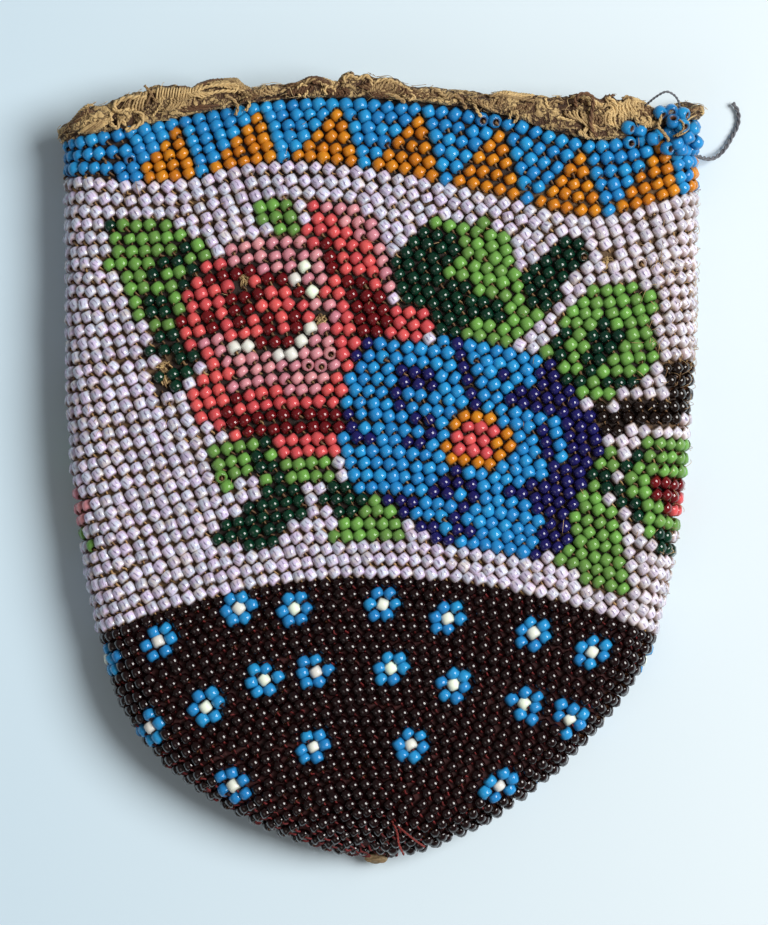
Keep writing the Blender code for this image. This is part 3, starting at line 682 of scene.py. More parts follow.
def edging_height(turn):
    """How high the edging stands over the last course: as the photograph shows it on the front,
    and even on the back."""
    spot = around(PURSE_LENGTH, turn, 0.0, 0.0)
    profile = np.array(EDGE_TOP, float)
    x, top = at_pixel(profile[:, 0], profile[:, 1])
    front = np.clip(np.interp(spot[..., 0], x, top) - spot[..., 1], 1.2, 8.0)
    share = smooth_step(spot[..., 2] / (2 * SIDE_RADIUS))
    back = BACK_EDGING_HEIGHT + 0.5 * cloud(turn * 40, turn * 0, 5)
    return back + (front - back) * share


def edging_point(turn, angle, proud):
    """Places on the edging's roll: its section is an oval, and the angle runs from its foot on
    the outside, over the crest at half a circle, to its foot on the inside."""
    turn, angle, proud = np.broadcast_arrays(turn, angle, proud)
    height = edging_height(turn)
    reach = PURSE_LENGTH + 0.2 + height / 2 - (height / 2 + 0.1) * np.cos(angle) * (1 + proud / 4)
    return around(reach, turn, 0.75 - (EDGING_DEPTH / 2 + proud) * np.sin(angle), 0.0)


def course_reaches():
    """Each course's reach from the tip. The first courses lie closer together in plan, because the
    pouch falls steeply there."""
    steps = 1 - TIP_CROWDING * np.exp(-np.arange(BASE_COURSES) / TIP_CROWD_COURSES)
    shares = np.concatenate([[0.0], steps.cumsum() / steps.sum()])
    base = TIP_HOLE_REACH + (GARNET_REACH - TIP_HOLE_REACH) * shares
    ground = np.linspace(GARNET_REACH, BAND_REACH, GROUND_COURSES + 1)
    band = np.linspace(BAND_REACH, PURSE_LENGTH, BAND_COURSES + 1)
    return np.concatenate([(part[1:] + part[:-1]) / 2 for part in (base, ground, band)])


def knit_courses():
    """The turn and course of every bead. Each course leans a step against the one below it,
    and in the base each wedge has as many beads as fit its narrowing width."""
    turns, courses = [], []
    lean = 0.0
    for course, reach in enumerate(course_reaches()):
        left, right, radius = (float(side) for side in round_sides(np.array(reach)))
        length = 2 * (left + right - 2 * radius) + 2 * math.pi * radius
        fits = WEDGE_BEADS
        if course < BASE_COURSES:
            fits = min(WEDGE_BEADS, round(length / BASE_PITCH / WEDGES))
        lean += BASE_STEP if course < BASE_COURSES else GROUND_STEP
        spots = (np.arange(fits) + 1 - lean % 1) / fits
        for wedge in range(WEDGES):
            turns.append((wedge + spots) / WEDGES + WEDGE_TURN)
            courses.append(np.full(fits, course))
    return np.concatenate(turns) % 1, np.concatenate(courses)


def inside_outline(px, py, outline):
    """Which points lie inside an outline: a level ray from them crosses it an odd number of times."""
    found = np.zeros(px.shape, bool)
    for (x1, y1), (x2, y2) in zip(outline, outline[1:] + outline[:1]):
        if y1 != y2:
            crosses = (py < y1) != (py < y2)
            found ^= crosses & (px < x1 + (py - y1) * (x2 - x1) / (y2 - y1))
    return found


def near_route(px, py, route):
    """Which points lie within a line's reach of a route."""
    found = np.zeros(px.shape, bool)
    for (x1, y1), (x2, y2) in zip(route, route[1:]):
        dx, dy = x2 - x1, y2 - y1
        share = np.clip(((px - x1) * dx + (py - y1) * dy) / (dx * dx + dy * dy), 0, 1)
        found |= np.hypot(px - x1 - share * dx, py - y1 - share * dy) < LINE_REACH
    return found


def nearest(px, py, allowed, spot):
    """The beads' indices by their distance from a spot, the allowed ones first."""
    gap = np.where(allowed, np.hypot(px - spot[0], py - spot[1]), np.inf)
    return gap.argsort()


def field_kinds(px, py, front):
    """The kind that the patches and lines give each place. The back repeats the front."""
    across = np.where(front, px, 2 * TIP_PIXEL[0] - px)
    kinds = np.full(px.shape, OPAL)
    for kind, outline in PATCHES:
        kinds[inside_outline(across, py, outline)] = kind
    for kind, route in LINES:
        kinds[near_route(across, py, route)] = kind
    return kinds


def chart_colours(px, py, turns, courses):
    """The kind of every bead. The back repeats the front as seen from behind."""
    front = turns < 0.5
    across = np.where(front, px, 2 * TIP_PIXEL[0] - px)
    kinds = field_kinds(px, py, front)
    in_base = courses < BASE_COURSES
    for side in (front, ~front):
        for spot in CHALK_SPOTS:
            kinds[nearest(across, py, side & ~in_base, spot)[0]] = CHALK
    kinds[in_base] = GARNET
    row = courses - BASE_COURSES - GROUND_COURSES
    lean = BASE_COURSES * BASE_STEP + (courses + 1 - BASE_COURSES) * GROUND_STEP
    from_start = (turns - WEDGE_TURN) % 1 * WEDGES * WEDGE_BEADS
    column = np.round(from_start + lean - 1).astype(int) + TRIANGLE_SHIFT
    step = column % TRIANGLE_BEADS
    gold = (step >= row) & (step < TRIANGLE_BEADS - 1) & (across > FIRST_TRIANGLE)
    kinds[row >= 0] = np.where(gold, GOLD, SKY)[row >= 0]
    for side in (front, ~front):
        for spot in FLORETS:
            order = nearest(across, py, side & in_base, spot)
            middle = order[0]
            ring = nearest(px, py, side & in_base, (px[middle], py[middle]))[1:PETALS + 1]
            kinds[ring] = SKY
            kinds[middle] = CHALK
    return kinds


def wander(values, width, rng):
    """Smooth random numbers along each course, so that its beads drift together."""
    noise = rng.normal(size=len(values) + 2 * width)
    window = np.hanning(2 * width + 1)
    return np.convolve(noise, window / math.sqrt((window**2).sum()), mode="valid")[:len(values)]


def lay_beads(sizes):
    """Every bead's place, hole direction, kind and size, worked out once for all pieces."""
    rng = np.random.default_rng(11)
    turns, courses = knit_courses()
    reaches = course_reaches()[courses]
    drift = wander(turns, 5, rng) * sizes.drift
    reaches = reaches + drift * 0.5 + rng.normal(size=len(turns)) * sizes.jitter
    left, right, radius = round_sides(reaches)
    length = 2 * (left + right - 2 * radius) + 2 * math.pi * radius
    shift = wander(turns, 7, rng) * sizes.drift + rng.normal(size=len(turns)) * sizes.jitter
    turns = (turns + shift / length) % 1
    places = around(reaches, turns, BEAD_INSET)
    px = TIP_PIXEL[0] + places[:, 0] / PIXEL
    py = TIP_PIXEL[1] - places[:, 1] / PIXEL
    kinds = chart_colours(px, py, turns, courses)
    along, up, out = directions(reaches, turns)
    slant = np.radians(sizes.slant + rng.normal(size=len(turns)) * sizes.slant_spread)
    slant = (slant - np.arcsin(along[:, 1]))[:, None]
    tilt = np.radians(sizes.tilt + rng.normal(size=len(turns)) * sizes.slant_spread)[:, None]
    front = turns < 0.5
    for spot in TURNED_SPOTS:
        tilt[nearest(px, py, front, spot)[0]] = np.radians(64)
    hole = np.cos(tilt) * (np.cos(slant) * along + np.sin(slant) * up) + np.sin(tilt) * out
    forms = np.array([BEAD_FORMS[kind] for kind in range(len(KINDS))])[kinds]
    scale = np.where(courses < BASE_COURSES, BASE_BEAD_SCALE, 1.0) * (1 + rng.normal(size=len(turns)) * 0.03)
    spacing = around(reaches + 0.1, turns, 0.0, 0.0) - around(reaches, turns, 0.0, 0.0)
    spacing = np.linalg.norm(spacing, axis=-1) / 0.1
    above = courses - BASE_COURSES - GROUND_COURSES
    kept = (above < 0) | (spacing > 0.72) | (above % 2 == 1)
    kept &= (above < 0) | (spacing > 0.36) | (above % 4 == 1)
    for spot in LOST_SPOTS:
        kept[nearest(px, py, front, spot)[0]] = False
    places = places + out * (rng.normal(size=len(turns)) * sizes.jitter)[:, None]
    # Near the tip, a bead that would sit inside one before it is left out
    tip = np.flatnonzero(kept & (courses < TIP_COURSES))
    gaps = np.linalg.norm(places[tip][:, None] - places[tip], axis=-1)
    kept[tip[np.tril(gaps < LEAST_GAP, -1).any(axis=1)]] = False
    return {
        "places": places, "hole": unit(hole), "out": out, "along": along, "kinds": kinds, "front": front,
        "courses": courses, "turns": turns, "kept": kept, "diameter": forms[:, 0] * scale,
        "length": forms[:, 1] * scale * (1 + rng.normal(size=len(turns)) * 0.06), "square": forms[:, 2],
        "shade": rng.random(len(turns)),
    }


def bead_points(places, hole, out, diameter, length, square, sides, fine):
    """Beads as rings of a rounded profile turned round their holes. The profile runs from the
    hole's wall over one end, the crest and the other end; square ends push its shoulders out."""
    shoulder = 0.6 + 0.24 * square
    height = 0.9 + 0.05 * square
    one = np.ones_like(square)
    if fine:
        axial = np.stack([-0.66 * one, -0.97 * one, -shoulder, 0 * one,
                          shoulder, 0.97 * one, 0.66 * one], axis=1)
        radial = np.stack([0.36 * one, 0.62 * one, height, one, height, 0.62 * one, 0.36 * one], axis=1)
    else:
        axial = np.stack([-0.8 * one, -0.8 * one, 0 * one, 0.8 * one, 0.8 * one], axis=1)
        radial = np.stack([0.36 * one, 0.78 * one, one, 0.78 * one, 0.36 * one], axis=1)
    sideways = np.cross(hole, out)
    flat = np.linalg.norm(sideways, axis=1, keepdims=True) < 0.05
    side = unit(np.where(flat, np.cross(hole, [0.0, 1.0, 0.0]), sideways))
    lift = np.cross(side, hole)
    turn = np.arange(sides) / sides * 2 * math.pi
    ring = np.cos(turn)[:, None] * side[:, None] + np.sin(turn)[:, None] * lift[:, None]
    points = (places[:, None, None]
              + (axial * length[:, None] / 2)[:, :, None, None] * hole[:, None, None]
              + (radial * diameter[:, None] / 2)[:, :, None, None] * ring[:, None])
    return points, axial, radial


def make_beads(name, chosen, beads, material, sides, fine, replaced=()):
    """One piece for many beads, with each bead's shade and the place round its hole as values."""
    points, axial, radial = bead_points(
        beads["places"][chosen], beads["hole"][chosen], beads["out"][chosen], beads["diameter"][chosen],
        beads["length"][chosen], beads["square"][chosen], sides, fine)
    end = np.repeat(np.abs(axial).ravel(), sides)
    count, rings = points.shape[:2]
    faces = ring_faces(rings, sides, closed_rings=True)[:, ::-1]
    faces = (faces[None] + (np.arange(count) * rings * sides)[:, None, None]).reshape(-1, 4)
    shade = np.repeat(beads["shade"][chosen], rings * sides)
    bore = np.repeat((radial < 0.5).ravel(), sides)
    turn = np.arange(sides) / sides * 2 * math.pi
    across = (radial[:, :, None] * np.cos(turn)).ravel()
    values = {"shade": shade, "bore": bore, "across": across, "end": end}
    return add_piece(name, points.reshape(-1, 3), [faces], material, replaced, values)


class NodeTree:
    """Short calls for building a shader's nodes."""

    def __init__(self, tree):
        self.tree = tree

    def add(self, kind, settings=None, **inputs):
        """A new node with its settings, and its inputs set or linked."""
        node = self.tree.nodes.new(kind)
        for key, value in (settings or {}).items():
            setattr(node, key, value)
        for key, value in inputs.items():
            self.feed(node, key.replace("_", " "), value)
        return node

    def feed(self, node, key, value):
        """Links an output to an input, or sets the input to a constant."""
        socket = node.inputs[int(key)] if key.isdigit() else node.inputs[key]
        if isinstance(value, bpy.types.NodeSocket):
            self.tree.links.new(value, socket)
        else:
            socket.default_value = value

    def value_of(self, name):
        """The mesh's own value of this name."""
        return self.add("ShaderNodeAttribute", {"attribute_name": name}).outputs["Fac"]

    def noise(self, coordinates, scale, detail):
        """Smooth noise of about 0 to 1."""
        return self.add("ShaderNodeTexNoise", Vector=coordinates, Scale=scale, Detail=detail).outputs["Fac"]

    def math(self, operation, *values, clamp=False):
        """One step of arithmetic on values or outputs."""
        node = self.add("ShaderNodeMath", {"operation": operation, "use_clamp": clamp})
        for index, value in enumerate(values):
            self.feed(node, str(index), value)
        return node.outputs[0]

    def mix(self, share, first, second, blend="MIX"):
        """A blend of two colours."""
        node = self.add("ShaderNodeMix", {"data_type": "RGBA", "blend_type": blend})
        for key, value in ((0, share), (6, first), (7, second)):
            self.feed(node, str(key), value)
        return node.outputs[2]


def shader_group(name, inputs, outputs):
    """An empty shader group with named inputs and outputs."""
    group = bpy.data.node_groups.new(name, "ShaderNodeTree")
    for label, kind, value in inputs:
        socket = group.interface.new_socket(name=label, in_out="INPUT", socket_type=kind)
        socket.default_value = value
    for label, kind in outputs:
        group.interface.new_socket(name=label, in_out="OUTPUT", socket_type=kind)
    nodes = NodeTree(group)
    return group, nodes, nodes.add("NodeGroupInput").outputs, nodes.add("NodeGroupOutput")


def bead_group():
    """Each bead a little lighter or darker and warmer than its neighbour, with thread in its hole
    and painted shade towards its edges.
    """
    group, nodes, given, result = shader_group(
        "bead_tint",
        (("Glass", "NodeSocketColor", (1, 1, 1, 1)), ("Other Glass", "NodeSocketColor", (1, 1, 1, 1)),
         ("Thread", "NodeSocketColor", (0.12, 0.05, 0.02, 1)), ("Spread", "NodeSocketFloat", 0.3)),
        (("Color", "NodeSocketColor"), ("Roughness", "NodeSocketFloat")))
    shade = nodes.value_of("shade")
    bore = nodes.value_of("bore")
    across = nodes.value_of("across")
    end = nodes.value_of("end")
    # Painted shade: the bead's colour darkens towards its edges and ends. It stands for the dark edges of the
    # glass and the shade in the gaps between beads.
    brink = nodes.math("MAXIMUM", nodes.math("ABSOLUTE", across), end)
    brink = nodes.math("MULTIPLY", nodes.math("SUBTRACT", brink, 0.55), 1.1, clamp=True)
    coordinates = nodes.add("ShaderNodeTexCoord").outputs["Object"]
    cloud = nodes.noise(coordinates, 900.0, 2.0)
    glass = nodes.mix(shade, given["Glass"], given["Other Glass"])
    stretch = nodes.math("MULTIPLY", nodes.math("SUBTRACT", shade, 0.5), given["Spread"])
    stretch = nodes.math("ADD", stretch, nodes.math("MULTIPLY", nodes.math("SUBTRACT", cloud, 0.5), 0.3))
    value = nodes.math("SUBTRACT", nodes.math("ADD", stretch, 1.08), brink)
    bright = nodes.add("ShaderNodeHueSaturation", Value=value, Color=glass).outputs["Color"]
    nodes.feed(result, "Color", nodes.mix(bore, bright, given["Thread"]))
    nodes.feed(result, "Roughness", nodes.math("ADD", nodes.math("MULTIPLY", cloud, 0.1),
                                               nodes.math("MULTIPLY", bore, 0.4)))
    return group


def opal_group():
    """Clear opal glass: light and dark streaks along the bead, which are painted refraction; a rim
    where the thread's brown shows through, with painted shade that is broader along its lower side;
    and clouds of pale violet, blue and yellow that grow warmer towards the right."""
    group, nodes, given, result = shader_group(
        "opal_streaks",
        (("Milk", "NodeSocketColor", (0.7, 0.66, 0.8, 1)), ("Depth", "NodeSocketColor", (0.25, 0.2, 0.3, 1)),
         ("Rim", "NodeSocketColor", (0.25, 0.18, 0.12, 1))),
        (("Color", "NodeSocketColor"),))
    shade = nodes.value_of("shade")
    across = nodes.value_of("across")
    end = nodes.value_of("end")
    coordinates = nodes.add("ShaderNodeTexCoord").outputs["Object"]
    hue = nodes.add("ShaderNodeTexNoise", Vector=coordinates, Scale=800.0, Detail=1.0).outputs["Color"]
    hue = nodes.add("ShaderNodeSeparateColor", Color=hue)
    cool, warm = (nodes.math("MULTIPLY", nodes.math("SUBTRACT", hue.outputs[key], low), 5.0, clamp=True)
                  for key, low in (("Red", 0.4), ("Green", 0.52)))
    ripple = nodes.noise(coordinates, 1700.0, 1.0)
    patch = nodes.noise(coordinates, 120.0, 2.0)
    tint = nodes.mix(cool, (0.90, 0.80, 1.0, 1), (0.82, 0.93, 1.0, 1))
    tint = nodes.mix(nodes.math("MULTIPLY", warm, 0.7), tint, (1.0, 0.92, 0.72, 1))
    # The glass's tint grows warmer towards the right.
    rightward = nodes.add("ShaderNodeSeparateXYZ", Vector=coordinates).outputs["X"]
    warmer_rightward = nodes.math("MULTIPLY", nodes.math("SUBTRACT", rightward, 0.008), 22.0, clamp=True)
    tint = nodes.mix(nodes.math("MULTIPLY", warmer_rightward, 0.75), tint, (0.97, 0.93, 0.80, 1))
    tinted = nodes.mix(1.0, given["Milk"], tint, "MULTIPLY")
    # Painted refraction: light and dark streaks along the bead stand for light bent through the clear glass.
    # They fade towards its edges.
    bend = nodes.math("ADD", across, nodes.math("MULTIPLY", nodes.math("ADD", ripple, shade), 0.5))
    streak = nodes.math("SINE", nodes.math("MULTIPLY", bend, 10.0))
    dark = nodes.math("SUBTRACT", nodes.math("MULTIPLY", streak, 1.7), 0.5, clamp=True)
    brink = nodes.math("MAXIMUM", nodes.math("ABSOLUTE", across), end)
    core = nodes.math("SUBTRACT", 1.25, nodes.math("MULTIPLY", brink, 1.7), clamp=True)
    deep = nodes.math("MULTIPLY", nodes.math("ADD", nodes.math("MULTIPLY", dark, 0.9), 0.2), core, clamp=True)
    striped = nodes.mix(deep, tinted, given["Depth"])
    # Painted shade: the brown rim at the bead's edges and ends is partly the thread seen through the glass
    # and partly shade. It is broader along the lower side, away from the light.
    lower = nodes.math("MULTIPLY", nodes.math("SUBTRACT", across, 0.42), 2.2, clamp=True)
    tips = nodes.math("MULTIPLY", nodes.math("SUBTRACT", brink, 0.66), 4.0, clamp=True)
    rim = nodes.math("MAXIMUM", nodes.math("MULTIPLY", lower, 0.8), nodes.math("MULTIPLY", tips, 0.72))
    rimmed = nodes.mix(rim, striped, given["Rim"])
    value = nodes.math("ADD", nodes.math("MULTIPLY", shade, 0.36), 0.72)
    value = nodes.math("ADD", value, nodes.math("MULTIPLY", patch, 0.3))
    bright = nodes.add("ShaderNodeHueSaturation", Value=value, Color=rimmed).outputs["Color"]
    nodes.feed(result, "Color", bright)
    return group


def principled(name):
    """A new material, its nodes and its Principled shader."""
    material = bpy.data.materials.new(name)
    material.use_nodes = True
    nodes = NodeTree(material.node_tree)
    return material, nodes, material.node_tree.nodes["Principled BSDF"]


def bead_material(name, colour, other, roughness, group, shine):
    """Glass that shines through a coat: its light spots are small and sharp."""
    material, nodes, shader = principled(name)
    tint = nodes.add("ShaderNodeGroup", {"node_tree": group})
    nodes.feed(tint, "Glass", (*colour, 1))
    nodes.feed(tint, "Other Glass", (*other, 1))
    nodes.feed(shader, "Base Color", tint.outputs["Color"])
    nodes.feed(shader, "Roughness", nodes.math("ADD", tint.outputs["Roughness"], roughness))
    coat(shader, shine)
    return material


def coat(shader, shine):
    """A clear coat, by its share, over a base that reflects little of its own."""
    shader.inputs["IOR"].default_value = 1.5
    shader.inputs["Specular IOR Level"].default_value = 0.12
    shader.inputs["Coat Weight"].default_value = shine
    shader.inputs["Coat Roughness"].default_value = 0.03
    shader.inputs["Coat IOR"].default_value = 1.5


def opal_material(colour, group):
    """Opal glass, with brown thread in its holes."""
    material, nodes, shader = principled("opal_glass")
    streaks = nodes.add("ShaderNodeGroup", {"node_tree": group})
    nodes.feed(streaks, "Milk", (*colour, 1))
    nodes.feed(streaks, "Depth", (0.24, 0.205, 0.34, 1))
    nodes.feed(streaks, "Rim", (0.17, 0.075, 0.022, 1))
    bore = nodes.value_of("bore")
    nodes.feed(shader, "Base Color", nodes.mix(bore, streaks.outputs["Color"], (0.24, 0.13, 0.06, 1)))
    shader.inputs["Roughness"].default_value = 0.25
    coat(shader, 0.6)
    shader.inputs["Specular IOR Level"].default_value = 0.5
    return material


def strand_group():
    """Fine strands of silk: light and dark streaks from two noises, shifted by the thread's shade,
    with painted shade in the creases where the relief dips.
    """
    group, nodes, given, result = shader_group(
        "silk_strands",
        (("Light", "NodeSocketColor", (0.5, 0.4, 0.25, 1)), ("Dark", "NodeSocketColor", (0.1, 0.06, 0.03, 1)),
         ("Fineness", "NodeSocketFloat", 3000.0), ("Shade", "NodeSocketFloat", 0.5),
         ("Pits", "NodeSocketFloat", 0.0)),
        (("Color", "NodeSocketColor"), ("Height", "NodeSocketFloat")))
    coordinates = nodes.add("ShaderNodeTexCoord").outputs["Object"]
    fine = nodes.noise(coordinates, given["Fineness"], 3.0)
    patchy = nodes.noise(coordinates, 420.0, 3.0)
    spread = nodes.math("ADD", nodes.math("MULTIPLY", fine, 1.1), nodes.math("MULTIPLY", patchy, 1.3))
    # Painted shade: the colour darkens along the creases where the bump dips, and lightens between them.
    knots = nodes.noise(coordinates, 1100.0, 2.0)
    crease = nodes.math("ABSOLUTE", nodes.math("SUBTRACT", knots, 0.5))
    crease = nodes.math("MINIMUM", nodes.math("MULTIPLY", crease, 9.0), 1.0)
    pit_depth_and_shade = nodes.math("MULTIPLY", nodes.math("SUBTRACT", crease, 0.6), given["Pits"])
    share = nodes.math("ADD", nodes.math("SUBTRACT", spread, 1.15), given["Shade"])
    share = nodes.math("ADD", share, pit_depth_and_shade, clamp=True)
    nodes.feed(result, "Color", nodes.mix(share, given["Dark"], given["Light"]))
    nodes.feed(result, "Height", nodes.math("ADD", fine, pit_depth_and_shade))
    return group


def silk_material(name, light, dark, fineness=3000.0, relief=0.5, pit_depth_and_shade=0.0):
    """Dull silk or cloth between a light and a dark colour, with fine relief and painted shade in
    its pits.
    """
    material, nodes, shader = principled(name)
    strands = nodes.add("ShaderNodeGroup", {"node_tree": shared_group("silk_strands", strand_group)})
    nodes.feed(strands, "Light", (*light, 1))
    nodes.feed(strands, "Dark", (*dark, 1))
    nodes.feed(strands, "Fineness", fineness)
    nodes.feed(strands, "Pits", pit_depth_and_shade)
    nodes.feed(strands, "Shade", nodes.value_of("shade"))
    bump = nodes.add("ShaderNodeBump", Height=strands.outputs["Height"], Strength=relief, Distance=0.0002)
    nodes.feed(shader, "Base Color", strands.outputs["Color"])
    nodes.feed(shader, "Normal", bump.outputs["Normal"])
    shader.inputs["Roughness"].default_value = 0.75
    shader.inputs["Sheen Weight"].default_value = 0.04
    shader.inputs["Sheen Roughness"].default_value = 0.5
    return material


def colour_property(title, default):
    """A colour of the beads that the panel shows."""
    return FloatVectorProperty(
        name=title, description=f"Colour of the {title.lower()} beads", subtype="COLOR", size=3, min=0, max=1,
        default=default)


class PurseColours(PropertyGroup):
    """The colour of each kind of bead"""

    opal: colour_property("Opal", (0.80, 0.775, 0.875))
    sky: colour_property("Sky blue", (0.022, 0.25, 0.63))
    navy: colour_property("Navy", (0.012, 0.010, 0.115))
    gold: colour_property("Gold", (0.63, 0.20, 0.015))
    garnet: colour_property("Garnet", (0.008, 0.0010, 0.0016))
    ruby: colour_property("Ruby", (0.15, 0.005, 0.009))
    coral: colour_property("Coral", (0.70, 0.09, 0.105))
    pink: colour_property("Pink", (0.69, 0.26, 0.335))
    leaf: colour_property("Leaf green", (0.155, 0.315, 0.075))
    deep_leaf: colour_property("Dark green", (0.002, 0.030, 0.017))
    stem: colour_property("Dark brown", (0.009, 0.0035, 0.0025))
    chalk: colour_property("Chalk white", (0.86, 0.85, 0.81))


class PurseSizes(PropertyGroup):
    """How the beads lie, and how many sides they have"""

    slant: FloatProperty(
        name="Slant", description="How the beads' holes slant against the level, in degrees", default=-52)
    tilt: FloatProperty(
        name="Tilt", description="How far the holes point up out of the knitting, in degrees", default=8)
    slant_spread: FloatProperty(
        name="Slant spread", description="How unevenly the beads slant, in degrees", default=8, min=0)
    drift: FloatProperty(
        name="Drift", description="How far a course's beads drift together, in millimetres", default=0.10)
    jitter: FloatProperty(
        name="Jitter", description="How far a bead lies off its place, in millimetres", default=0.06, min=0)
    front_sides: IntProperty(
        name="Front sides", description="Sides of a bead on the front", default=9, min=6, max=12)
    back_sides: IntProperty(
        name="Back sides", description="Sides of a bead on the back", default=6, min=5, max=12)


SHARED = {}


def beads_of_purse(scene):
    """The beads, laid once and then shared by the operators."""
    if "beads" not in SHARED:
        SHARED["beads"] = lay_beads(scene.purse_sizes)
    return SHARED["beads"]


def shared_group(name, build):
    """A shader group, built once and then shared by the materials."""
    if name not in SHARED:
        SHARED[name] = build()
    return SHARED[name]


# How each kind of glass shines: its roughness under the coat, and the coat's share
GLASS = {
    SKY: (0.22, 0.6), NAVY: (0.1, 1.0), GOLD: (0.22, 0.55), GARNET: (0.1, 1.0), RUBY: (0.1, 1.0),
    CORAL: (0.22, 0.5), PINK: (0.22, 0.5), LEAF: (0.22, 0.5), DEEP_LEAF: (0.1, 1.0), STEM: (0.1, 1.0),
    CHALK: (0.25, 0.4),
}


def glass_of(scene, kind):
    """The material of a kind of bead, made once."""
    title = KINDS[kind]
    if f"{title}_glass" in bpy.data.materials:
        return bpy.data.materials[f"{title}_glass"]
    colour = np.array(getattr(scene.purse_colours, title))
    if kind == OPAL:
        return opal_material(tuple(colour), shared_group("opal_streaks", opal_group))
    other = np.clip(colour * np.array((0.92, 1.08, 0.9)), 0, 1)
    roughness, shine = GLASS[kind]
    group = shared_group("bead_tint", bead_group)
    return bead_material(f"{title}_glass", tuple(colour), tuple(other), roughness, group, shine)


class PURSE_OT_beads(Operator):
    """Make the knitted glass beads, one piece for each colour"""

    bl_idname = "purse.beads"
    bl_label = "Beads"

    def execute(self, context):
        sizes = context.scene.purse_sizes
        beads = beads_of_purse(context.scene)
        for kind, title in enumerate(KINDS):
            material = glass_of(context.scene, kind)
            chosen = (beads["kinds"] == kind) & beads["kept"]
            front, back = chosen & beads["front"], chosen & ~beads["front"]
            make_beads(f"{title}_beads_front", front, beads, material, sizes.front_sides, True)
            make_beads(f"{title}_beads_back", back, beads, material, sizes.back_sides, False)
        return {"FINISHED"}


def cloth_shades(points):
    """How light the cloth is at its points: painted shade, dark where dark beads lie on it and
    in the band, light only under opal and chalk beads.
    """
    px = TIP_PIXEL[0] + points[:, 0] / PIXEL
    py = TIP_PIXEL[1] - points[:, 1] / PIXEL
    radius = round_sides(np.maximum(points[:, 1], TIP_HOLE_REACH))[2]
    kinds = field_kinds(px, py, points[:, 2] > radius)
    # Painted shade: only the cloth under opal and chalk beads below the band stays light.
    pale = np.isin(kinds, (OPAL, CHALK)) & (points[:, 1] < BAND_REACH - 2.0)
    return np.where(pale, 0.5, -0.3)


class PURSE_OT_knitting(Operator):
    """Make the knitted cloth that carries the beads, in the ground and in the darker base"""

    bl_idname = "purse.knitting"
    bl_label = "Knitting"

    def execute(self, context):
        # Painted shade: the cloth's colours are much darker than the same silk in the threads. They stand for
        # the shade beneath the beads.
        tan = silk_material("knitting_silk", (0.20, 0.115, 0.05), (0.018, 0.008, 0.005))
        red = silk_material("base_silk", (0.07, 0.004, 0.004), (0.007, 0.001, 0.001))
        turns = np.arange(CLOTH_TURNS) / CLOTH_TURNS
        parts = (("knitted_ground", GARNET_REACH - 0.1, PURSE_LENGTH + 0.4, 80, tan, "knitting_silk"),
                 ("knitted_base", TIP_HOLE_REACH, GARNET_REACH + 0.2, 45, red, "red_thread"))
        for name, low, high, count, material, slot in parts:
            outer = np.linspace(low, high, count)
            inner = np.linspace(high - 0.2, low + 0.2, count // 3)
            rings = [around(reach, turns, CLOTH_INSET) for reach in outer]
            rings += [around(reach, turns, WALL) for reach in inner]
            points = np.array(rings).reshape(-1, 3)
            faces = ring_faces(len(rings), len(turns), closed_rings=True)
            shade = cloth_shades(points) if material is tan else 0.4
            add_piece(name, points, [faces], material, ("beaded_pouch",), {"shade": shade})
        return {"FINISHED"}


def bead_threads(beads, chosen, rng):
    """Short threads from each bead's hole down into the knitting at its lower right."""
    hole, out, place_of = (beads[key][chosen][:, None] for key in ("hole", "out", "places"))
    half = beads["length"][chosen][:, None, None] / 2
    spread = rng.normal(size=(hole.shape[0], 4, 3)) * 0.07
    ahead = np.array([0.55, 1.0, 1.35, 1.75])[None, :, None]
    down = np.array([0.0, 0.02, -0.22, -0.62])[None, :, None]
    return place_of + hole * half * ahead + out * down + spread


class PURSE_OT_bead_threads(Operator):
    """Make the silk that shows between the beads"""

    bl_idname = "purse.bead_threads"
    bl_label = "Threads between beads"

    def execute(self, context):
        beads = beads_of_purse(context.scene)
        rng = np.random.default_rng(23)
        in_base = beads["courses"] < BASE_COURSES
        looks = (("ground", ~in_base, (0.50, 0.31, 0.13), (0.14, 0.07, 0.03), "knitting_silk", 0.21),
                 ("base", in_base, (0.22, 0.010, 0.012), (0.02, 0.002, 0.002), "red_thread", 0.17))
        for title, part, light, dark, slot, radius in looks:
            material = silk_material(f"{title}_thread", light, dark)
            for side, on_side in (("front", beads["front"]), ("back", ~beads["front"])):
                chosen = part & on_side
                paths = bead_threads(beads, chosen, rng)
                points, faces = tubes(paths, radius * (0.7 + 0.5 * rng.random((len(paths), 1))), 3)
                # Painted shade: threads beside beads other than opal, chalk and garnet ones are darker.
                pale = np.isin(beads["kinds"][chosen], (OPAL, CHALK, GARNET))
                shade = np.where(pale, 0.35, -0.25) + 0.5 * rng.random(len(paths))
                shade = np.repeat(shade, len(points) // len(paths))
                add_piece(f"{title}_threads_{side}", points, faces, material, (), {"shade": shade})
        return {"FINISHED"}


